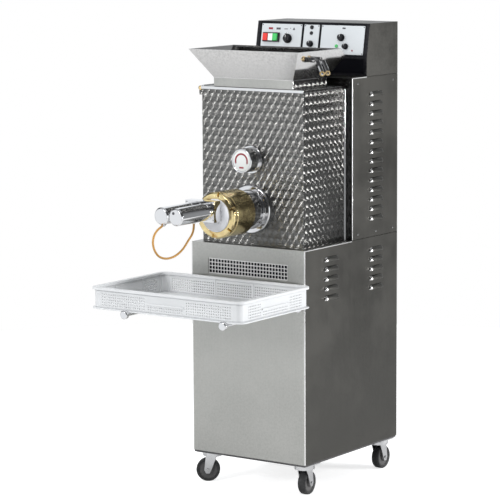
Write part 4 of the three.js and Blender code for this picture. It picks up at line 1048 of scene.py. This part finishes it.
class PASTA_OT_dials(Maker, bpy.types.Operator):
    """Turns the four dials with their pointers"""

    bl_idname = "pasta.dials"
    bl_label = "Dials"

    def make(self, context):
        foot, flutes, flute_depth = 0.2, 18, 0.06
        for name, node, body, radius, x, z in DIALS:
            bm = bmesh.new()
            steps = ((1, 0), (1, 3.4), (0.84, 4.6), (0.78, 13.2), (0.7, 14), (0, 14))
            profile = [(0, 0)] + [(radius * share, along) for share, along in steps]
            for vert in spun(bm, profile, (0, foot, 0), (0, -1, 0), steps=72):
                reach = math.hypot(vert.co.x, vert.co.z)
                if foot - vert.co.y > 4 and reach > radius * 0.6:
                    angle = math.atan2(vert.co.z, vert.co.x)
                    share = 1 - flute_depth * (math.cos(flutes * angle) > 0)
                    vert.co.x *= share
                    vert.co.z *= share
            raised = 0
            if node == "mode_selector":
                raised = 2.2
                block(bm, (-3.4, foot - 16.4, -radius * 0.7), (3.4, foot - 9, radius * 0.96))
            pointer = block(bm, (-0.9, foot - 14.4 - raised, radius * 0.2), (0.9, foot - 13.6, radius * 0.68))
            for face in faces_of(pointer):
                face.material_index = 1
            looks = ["black plastic", "knob cap"]
            piece(name, bm, body, looks, "black_plastic", node, edge=0.3, spot=on_face(x, z))


# Housing and lid


HEM_X, HEM_Y = 200.4, 270
COLLAR_TOP = 1366
HINGE_X, HINGE_Z = -211, 1328.425
SLEEVE_LEAN = math.radians(27)
SLEEVE_DEPTH = 17
MOUTH = Vector((0.6, -0.78, -0.1)).normalized()


class PASTA_OT_housing(Maker, bpy.types.Operator):
    """Finishes the engine-turned housing with its bright rear hem"""

    bl_idname = "pasta.housing"
    bl_label = "Tank housing"

    def make(self, context):
        def hem(normal, centre):
            if abs(centre.x) > HEM_X and centre.y > HEM_Y:
                return 1
            # The sides take the darker turned steel: painted shade.
            return 2 if abs(normal.x) > 0.7 else 0

        looks = ["turned steel", "chrome", "side turned steel"]
        softened("tank_housing", "cabinet", looks, "turned_steel", edge=1.4, paint=hem, rim=1)
        rolls = bmesh.new()
        for left, right, top in ((197, 204, 1325.5), (-204, -197, 1300)):
            block(rolls, (left, 274.5, CABINET_TOP + 0.8), (right, 285.6, top))
        piece("housing_hems", rolls, "cabinet", "chrome", "polished_steel", edge=3.4, segments=5)


class PASTA_OT_lid(Maker, bpy.types.Operator):
    """Finishes the top cover, its hinge, the hopper and the sensors"""

    bl_idname = "pasta.lid"
    bl_label = "Lid"

    def make(self, context):
        def front_bar(normal, centre):
            # The sides take the darker turned steel: painted shade.
            return 1 if normal.y < -0.5 else 2 if abs(normal.x) > 0.7 else 0

        def wings(normal, centre):
            if centre.z < COLLAR_TOP:
                # The collar's sides take the darker turned steel: painted shade.
                return 3 if abs(normal.x) > 0.7 else 2
            return int(abs(normal.x) > 0.6)

        cover = ["turned steel", "chrome", "side turned steel"]
        softened("top_cover", "lid", cover, "turned_steel", edge=1.2, paint=front_bar, rim=1)
        walls = ["hopper steel", "hopper polish", "satin steel", "side turned steel"]
        softened("hopper", "lid", walls, "panel_steel", edge=0.9, paint=wings, rim=1)
        bm = bmesh.new()
        pin = [(0, 33.4), (4.5, 33.4), (7.2, 35), (7.2, 39.3), (5, 39.3), (5, 263), (0, 263)]
        spun(bm, pin, (HINGE_X, 0, HINGE_Z), steps=48)
        piece("hinge_rod", bm, "lid", "brass pin", "brass", "cover_hinge_pin", edge=0.5)
        dress("chrome", "interlock_sensors")
        self.sensors()

    def sensors(self):
        """Two leaning sleeves, each with a brass ring round a hollow at its foot, whose inside is painted
        black as its shade.
        """
        low, high = (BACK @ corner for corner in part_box("interlock_sensors"))
        axis = Vector((-math.sin(SLEEVE_LEAN), 0, math.cos(SLEEVE_LEAN)))
        inset = SLEEVE_DEPTH / 2
        for side, name in ((-1, "front"), (1, "rear")):
            bm = bmesh.new()
            y = (low.y + high.y) / 2 + side * (high.y - low.y - SLEEVE_DEPTH) / 2
            foot = Vector((high.x - inset * axis.z, y, low.z - inset * axis.x))
            spun(bm, [(0, 2), (7.9, 2), (7.9, 50), (0, 50)], foot, axis, steps=40)
            mouth = foot + axis * 7
            profile = [(0, -4), (4.4, -4), (4.4, 9.6), (8.0, 9.6), (8.4, 9.0), (8.4, -6), (0, -6)]
            for face in faces_of(spun(bm, profile, mouth, MOUTH, steps=40)):
                reach = face.calc_center_median() - mouth
                along = reach.dot(MOUTH)
                radius = (reach - MOUTH * along).length
                # Painted shade: the hollow's floor and wall take the black finish.
                face.material_index = 2 if radius < 4.6 and along > -5 else 1
            looks = ["chrome", "brass pin", "dark frame"]
            piece("sensor_sleeve_" + name, bm, "lid", looks, "polished_steel", edge=0.4)


# Tank, mixer and knob


SIGN_LOW, SIGN_HIGH = -31.45, -31.15


class PASTA_OT_mixing(Maker, bpy.types.Operator):
    """Finishes the tank and the mixer, and turns the mixer knob"""

    bl_idname = "pasta.mixing"
    bl_label = "Mixing"

    def make(self, context):
        dress("inner steel", "mixing_tank")
        dress("chrome", "mixer_shaft")
        body = bmesh.new()
        profile = [
            (0, -30.3), (33.5, -30.3), (34.5, -31.3), (38, -31.3), (40, -29), (40, 8), (37.5, 9.5),
            (37.5, 15), (40, 16.5), (40, 20.7), (45, 20.7), (45, 30.7), (9, 30.7), (9, 44.4), (0, 44.4),
        ]
        spun(body, profile, (0, 0, MIXER_Z), steps=96)
        knob = dict(edge=1.2, segments=3)
        piece("knob_body", body, "mixer_handle", "chrome", "polished_steel", "mixer_knob", **knob)
        cap = bmesh.new()
        profile = [(0, 0.6), (32, 0.6), (33.4, 0), (33.4, -1.2), (0, -1.2)]
        spun(cap, profile, (0, -30.6, MIXER_Z), (0, -1, 0), steps=80)
        piece("knob_disc", cap, "mixer_handle", "knob cap", "lamp_white")
        self.sign()

    def sign(self):
        """An arc with an arrow head at each end, and a short bar under it."""
        bm = bmesh.new()
        dots, start, sweep = 40, -12, 204
        for i in range(dots):
            dot = block(bm, (20.0, SIGN_LOW, -1.2), (25.6, SIGN_HIGH, 1.2))
            swing = turned(-(start + sweep * i / (dots - 1)), "Y")
            bmesh.ops.transform(bm, matrix=at(0, 0, MIXER_Z) @ swing, verts=dot)
        for x in (-22.2, 22.2):
            arrow_head(bm, 4.2, at(x, -31.3, MIXER_Z - 6.5) @ turned(90, "X") @ turned(-90, "Z"))
        block(bm, (-8.5, SIGN_LOW, MIXER_Z - 24.5), (8.5, SIGN_HIGH, MIXER_Z - 19))
        piece("knob_sign", bm, "mixer_handle", "mark red", "red_plastic")


# Extrusion


BOLT_CIRCLE, FLANGE_FRONT = 71.3, 12.5
NUT_RADIUS, SLOT_FLOOR, SLOT_INNER = 75, -167.9, 62


class PASTA_OT_nose(Maker, bpy.types.Operator):
    """Turns the barrel with its flange, the ring nut and the die, and finishes the screw"""

    bl_idname = "pasta.nose"
    bl_label = "Nose"

    def make(self, context):
        bm = bmesh.new()
        profile = [
            (54, -57.2), (62.25, -57.2), (62.25, 5), (64.5, 8.5), (64.5, 12.45), (77, 12.45), (80.25, 15.7),
            (80.25, 27), (79.2, 28.2), (79.2, 30.6), (54, 30.6),
        ]
        spun(bm, profile, (0, 0, NOSE_Z), steps=112)
        piece("flange_skin", bm, "cabinet", "turned chrome", "polished_steel", edge=0.8, segments=3)
        dress("turned chrome", "barrel")
        dress("chrome", "extrusion_screw")
        self.bolts()
        self.nut()
        self.die()

    def bolts(self):
        bm = bmesh.new()
        profile = [(3, 2.4), (3, 5.6), (4.4, 5.6), (5, 5.0), (5, 0), (0, 0), (0, 2.4)]
        head = spun(bm, profile, (0, 0, 0), (0, -1, 0), steps=24)
        middle = at(0, FLANGE_FRONT, NOSE_Z)
        copies(bm, head, [middle @ turned(45 + 90 * i, "Y") @ at(BOLT_CIRCLE, 0, 0) for i in range(4)])
        piece("flange_bolts", bm, "cabinet", "chrome", "polished_steel", edge=0.35)

    def nut(self):
        """The ring nut, with six spanner slots in its front edge."""
        bm = bmesh.new()
        profile = [
            (54.1, -176.9), (61, -176.9), (70.5, -176.9), (75, -172.9), (75, -167.9), (75, -160),
            (73.8, -158.8), (73.8, -156.4), (75, -155.2), (75, -60.6), (72, -57.6), (58, -57.6),
            (58, -166.9), (54.1, -166.9),
        ]
        spun(bm, profile, (0, 0, NOSE_Z), steps=120)
        for i in range(6):
            self.spanner_slot(bm, math.radians(60 * i + 21))
        piece("nut_ring", bm, "nut", "brass", "brass", "ring_nut", edge=0.7, segments=3)

    def spanner_slot(self, bm, angle):
        """Sinks the front faces at that angle to the slot's floor and opens the rim beside them."""
        out = Vector((math.cos(angle), 0, math.sin(angle)))

        def from_axis(point):
            return Vector((point.x, 0, point.z - NOSE_Z))

        front, band = [], []
        for face in bm.faces:
            centre = face.calc_center_median()
            flat = from_axis(centre)
            if centre.y < -168 and flat.length > SLOT_INNER and flat.angle(out) < math.radians(4):
                (band if centre.y > -172 else front).append(face)
        bmesh.ops.delete(bm, geom=band, context="FACES")
        for vert in verts_in(bmesh.ops.extrude_face_region(bm, geom=front)):
            vert.co.y = SLOT_FLOOR
        bmesh.ops.delete(bm, geom=[f for f in front if f.is_valid], context="FACES")

        def closes_slot(face):
            corners = [vert.co for vert in face.verts]
            sunk = all(-173 < corner.y < SLOT_FLOOR + 0.1 for corner in corners)
            on_rim = all(from_axis(corner).length > NUT_RADIUS - 0.1 for corner in corners)
            return sunk and on_rim and from_axis(face.calc_center_median()).normalized().dot(out) > 0.99

        bmesh.ops.delete(bm, geom=[f for f in bm.faces if closes_slot(f)], context="FACES")

    def die(self):
        bm = bmesh.new()
        profile = [(31.5, -179.5), (32.3, -180.3), (51.6, -180.3), (53.4, -178.9), (53.4, -170), (31.5, -170)]
        spun(bm, profile, (0, 0, NOSE_Z), steps=96)
        piece("die_rim", bm, "cabinet", "die plastic", "die_plastic", edge=0.3)
        dress("die plastic", "die")


class PASTA_OT_drive(Maker, bpy.types.Operator):
    """Finishes the gears, their frame and the motor inside the rear body"""

    bl_idname = "pasta.drive"
    bl_label = "Drive"

    def make(self, context):
        dress("gear iron", "mixer_gear", "motor_pinion", "gear_frame")
        dress("motor paint", "drive_motor")


# Cutter


class PASTA_OT_cutter(Maker, bpy.types.Operator):
    """Makes the cutter's carrier, blade and two cylinders"""

    bl_idname = "pasta.cutter"
    bl_label = "Cutter"

    def make(self, context):
        softened("cutter_blade", "blade", "chrome", "polished_steel", edge=0.3)
        dress("chrome", "cutter_carrier")
        screws = bmesh.new()
        for x in (-80, 23):
            for z in (930, 984):
                raised_screw(screws, (x, -224.8, z), (0, -1, 0), 3.4, 2.0)
        piece("carrier_screws", screws, "cabinet", "chrome", "polished_steel", edge=0.2)
        self.cylinder("cutter_motor_can", "cutter_motor", MOTOR_X)
        self.cylinder("cutter_gear_can", "cutter_gearbox", GEARBOX_X)
        mark = bmesh.new()
        head = [(0, 0), (4.4, 0), (4.4, 0.9), (0, 0.9)]
        spun(mark, head, (-8, -393.1, CUTTER_Z + 12), (0, -1, 0), steps=24)
        block(mark, (-12.0, -394.1, CUTTER_Z + 11.2), (-4.0, -393.9, CUTTER_Z + 12.8))
        piece("motor_cap_screw", mark, "cabinet", "mark dark", "black_plastic", edge=0.2)

    def cylinder(self, name, node, x):
        """A can with a groove near its root; the gearbox has the cable's gland under its outer end."""
        bm = bmesh.new()
        profile = [
            (0, -393.2), (23.5, -393.2), (28, -388.8), (28, -247), (27.2, -246.2), (27.2, -243.8), (28, -243),
            (28, -225.2), (0, -225.2),
        ]
        spun(bm, profile, (x, 0, CUTTER_Z), steps=80)
        if x == GEARBOX_X:
            lean = math.radians(65)
            gland = [(0, -9), (6.4, -9), (6.4, 3.4), (5.2, 4.2), (4.2, 8), (0, 8)]
            spun(bm, gland, (x, -378.9, CUTTER_Z - 28), (0, -math.sin(lean), -math.cos(lean)), steps=24)
        piece(name, bm, "cabinet", "chrome", "polished_steel", node, edge=0.8, segments=3)


# Tray


TRAY_X, TRAY_Y, TRAY_LOW, TRAY_TOP = -35, -214, 642, 712
TRAY_OUTER, TRAY_OPENING, TRAY_WALL = (300, 200, 30), (284.2, 184.2, 14.2), (288, 188, 18)
FLOOR_PLATE, RIM_PLATE = (TRAY_LOW, TRAY_LOW + 4), (TRAY_TOP - 8, TRAY_TOP)
ROD_Z = 634.7


def tray_outline(half_x, half_y, corner):
    """The four straight runs round the tray: where each starts, how it is turned, and its length."""
    runs = []
    centre = Vector((TRAY_X, TRAY_Y, 0))
    for quarter in range(4):
        x, y = (half_x, half_y) if quarter % 2 == 0 else (half_y, half_x)
        turn = turned(90 * quarter, "Z", 3)
        runs.append((centre + turn @ Vector((corner - x, -y, 0)), turn, 2 * (x - corner)))
    return runs


def corner_points(start, turn, length, corner, steps):
    """Points round the corner at the end of a run."""
    centre = start + turn @ Vector((length, corner, 0))
    return [centre + turn @ (turned(90 * k / steps, "Z", 3) @ Vector((0, -corner, 0))) for k in range(steps)]


def rounded_points(half_x, half_y, corner, steps=8):
    points = []
    for start, turn, length in tray_outline(half_x, half_y, corner):
        points += [start, *corner_points(start, turn, length, corner, steps)]
    return points


class PASTA_OT_tray(Maker, bpy.types.Operator):
    """Makes the white tray with its rims, ribs and perforated walls, and the two rods"""

    bl_idname = "pasta.tray"
    bl_label = "Tray"

    def make(self, context):
        self.walls(context.scene.machine_sizes)
        self.plates()
        for x, name in ((-184.5, "left"), (200.5, "right")):
            bm = bmesh.new()
            rod = [
                (0, -428.3), (11.5, -428.3), (14, -426), (14, -416), (12.5, -414.3), (7, -414.3), (7, -8.3),
                (0, -8.3),
            ]
            spun(bm, rod, (x, 0, ROD_Z), steps=48)
            spun(bm, [(0, -8.4), (15, -8.4), (17, -6.5), (17, -0.3), (0, -0.3)], (x, 0, ROD_Z), steps=48)
            piece("rod_" + name, bm, "cabinet", "chrome", "polished_steel", "tray_rod_" + name, edge=0.6)

    def walls(self, sizes):
        """One wall round the tray, drawn as a strip of squares, with the holes cut out."""
        pitch, hole = sizes.tray_pitch / MM, sizes.tray_hole / MM
        low, high = TRAY_LOW + 9, TRAY_TOP - 11
        count = int((high - low) / pitch)
        rows = [TRAY_LOW + 3.8] + [low + pitch * k for k in range(count + 1)] + [TRAY_TOP - 7.8]
        corner = TRAY_WALL[2]
        outline = []
        for quarter, (start, turn, length) in enumerate(tray_outline(*TRAY_WALL)):
            for along, reach in self.side_columns(length, pitch, 2 if quarter != 2 else count):
                outline.append((start + turn @ Vector((along, 0, 0)), min(reach, count)))
            outline += [(point, 0) for point in corner_points(start, turn, length, corner, 6)]
        outline.append(outline[0])
        bm = bmesh.new()
        wide, tall = len(outline), len(rows)
        grid = bmesh.ops.create_grid(bm, x_segments=wide - 1, y_segments=tall - 1, size=0.5)
        for vert in grid["verts"]:
            vert.co = (round((vert.co.x + 0.5) * (wide - 1)), round((vert.co.y + 0.5) * (tall - 1)), 0)
        holes = []
        for face in bm.faces:
            centre = face.calc_center_median()
            if 1 <= int(centre.y) <= outline[int(centre.x)][1]:
                holes.append(face)
        for vert in bm.verts:
            place = outline[round(vert.co.x)][0]
            vert.co = (place.x, place.y, rows[round(vert.co.y)])
        bm.normal_update()
        bmesh.ops.inset_individual(bm, faces=holes, thickness=(pitch - hole) / 2, use_even_offset=True)
        bmesh.ops.delete(bm, geom=holes, context="FACES")
        piece("tray_wall", bm, "dough_tray", "tray plastic", "tray_plastic", "tray", wall=-3.0, crease=40)

    def side_columns(self, length, pitch, middle_rows):
        """The grid lines along one side, each with its rows of holes: two outer panels and a middle one."""
        every_row, gap, margin, columns = 99, 9, 22, 16
        half = columns / 2 * pitch
        outer = max(4, int((length / 2 - half - margin) / pitch))

        def panel(start, count, reach):
            return [(start + pitch * k, reach if k < count else 0) for k in range(count + 1)]

        left = (length / 2 - half - gap) - outer * pitch
        lines = [(0, 0), *panel(left, outer, every_row), *panel(length / 2 - half, columns, middle_rows)]
        return lines + panel(length / 2 + half + gap, outer, every_row)

    def plates(self):
        """Floor, rims, ribs and the bars under the blank bands."""
        bm = bmesh.new()
        for (low, high), sizes in ((FLOOR_PLATE, [TRAY_OUTER]), (RIM_PLATE, [TRAY_OUTER, TRAY_OPENING])):
            rims = [[bm.verts.new((p.x, p.y, low)) for p in rounded_points(*size)] for size in sizes]
            edges = [bm.edges.new(pair) for rim in rims for pair in zip(rim, rim[1:] + rim[:1])]
            if len(rims) > 1:
                flat = bmesh.ops.bridge_loops(bm, edges=edges)["faces"]
            else:
                flat = [bm.faces.new(rims[0])]
            raised = bmesh.ops.extrude_face_region(bm, geom=flat, use_keep_orig=True)
            bmesh.ops.translate(bm, vec=(0, 0, high - low), verts=verts_in(raised))
        rib, bar = (TRAY_LOW + 3.5, TRAY_TOP - 7.5), (TRAY_TOP - 41, TRAY_TOP - 36)
        for x in (-268, -76, 76, 268):
            for side in (-1, 1):
                self.slab(bm, (x, side * 188), (1.8, 2), rib)
        for y in (-168, -76, 76, 168):
            for side in (-1, 1):
                self.slab(bm, (side * 288, y), (2, 1.8), rib)
        self.slab(bm, (0, -191), (75, 4), bar)
        for side in (-1, 1):
            self.slab(bm, (side * 291, 0), (4, 75), bar)
        piece("tray_rims", bm, "dough_tray", "tray plastic", "tray_plastic", edge=0.8, segments=3)

    def slab(self, bm, middle, half, heights):
        """A block about a place measured from the tray's middle."""
        x, y = TRAY_X + middle[0], TRAY_Y + middle[1]
        block(bm, (x - half[0], y - half[1], heights[0]), (x + half[0], y + half[1], heights[1]))


# Casters


CASTERS = (
    ("front_left", -186, 55, 210),
    ("front_right", 186, 55, 95),
    ("rear_left", -186, 515, 150),
    ("rear_right", 186, 515, 90),
)
AXLE = (15, 0, 39.508)


class PASTA_OT_casters(Maker, bpy.types.Operator):
    """Makes the four swivel casters"""

    bl_idname = "pasta.casters"
    bl_label = "Casters"

    def make(self, context):
        for name, x, y, turn in CASTERS:
            softened("caster_fork_" + name, "fork_" + name, "caster chrome", "fork_chrome", edge=0.8)
            self.wheel(name, at(x, y, 0) @ turned(turn, "Z"))

    def wheel(self, name, spot):
        bm = bmesh.new()
        spun(bm, both_sides([(30, -12.5), (33, -14), (37, -14), (39.6, -10), (40, -4)]), AXLE, steps=72)
        hub = [(5.4, -15.6), (11, -15.6), (13.5, -14.4), (14, -9), (28, -9), (30.2, -12.5)]
        for face in faces_of(spun(bm, both_sides(hub), AXLE, steps=72)):
            face.material_index = 1
        looks = ["wheel rubber", "wheel core"]
        node = "caster_wheel_" + name
        piece("wheel_tyre_" + name, bm, "wheel_" + name, looks, "wheel_rubber", node, edge=0.5, spot=spot)


# Panel, and the run


class PASTA_PT_machine(bpy.types.Panel):
    """Lists the steps that dress the machine"""

    bl_idname = "PASTA_PT_machine"
    bl_label = "Pasta machine"
    bl_space_type = "VIEW_3D"
    bl_region_type = "UI"
    bl_category = "Pasta machine"

    def draw(self, context):
        for settings in (context.scene.machine_sizes, context.scene.machine_colours):
            box = self.layout.box()
            for name in settings.bl_rna.properties.keys():
                if name not in ("rna_type", "name"):
                    box.prop(settings, name)
        for step in STEPS:
            self.layout.operator(step.bl_idname)


STEPS = (
    PASTA_OT_stage,
    PASTA_OT_cable,
    PASTA_OT_cabinet,
    PASTA_OT_louvres,
    PASTA_OT_console,
    PASTA_OT_buttons,
    PASTA_OT_dials,
    PASTA_OT_housing,
    PASTA_OT_lid,
    PASTA_OT_mixing,
    PASTA_OT_nose,
    PASTA_OT_drive,
    PASTA_OT_cutter,
    PASTA_OT_tray,
    PASTA_OT_casters,
)
CLASSES = (MachineSizes, MachineColours, *STEPS, PASTA_PT_machine)


def register():
    for entry in CLASSES:
        bpy.utils.register_class(entry)
    bpy.types.Scene.machine_sizes = bpy.props.PointerProperty(type=MachineSizes)
    bpy.types.Scene.machine_colours = bpy.props.PointerProperty(type=MachineColours)


def unregister():
    del bpy.types.Scene.machine_colours
    del bpy.types.Scene.machine_sizes
    for entry in reversed(CLASSES):
        bpy.utils.unregister_class(entry)


def main():
    register()
    for step in STEPS:
        family, name = step.bl_idname.split(".")
        getattr(getattr(bpy.ops, family), name)()
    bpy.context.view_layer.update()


if __name__ == "__main__":
    main()
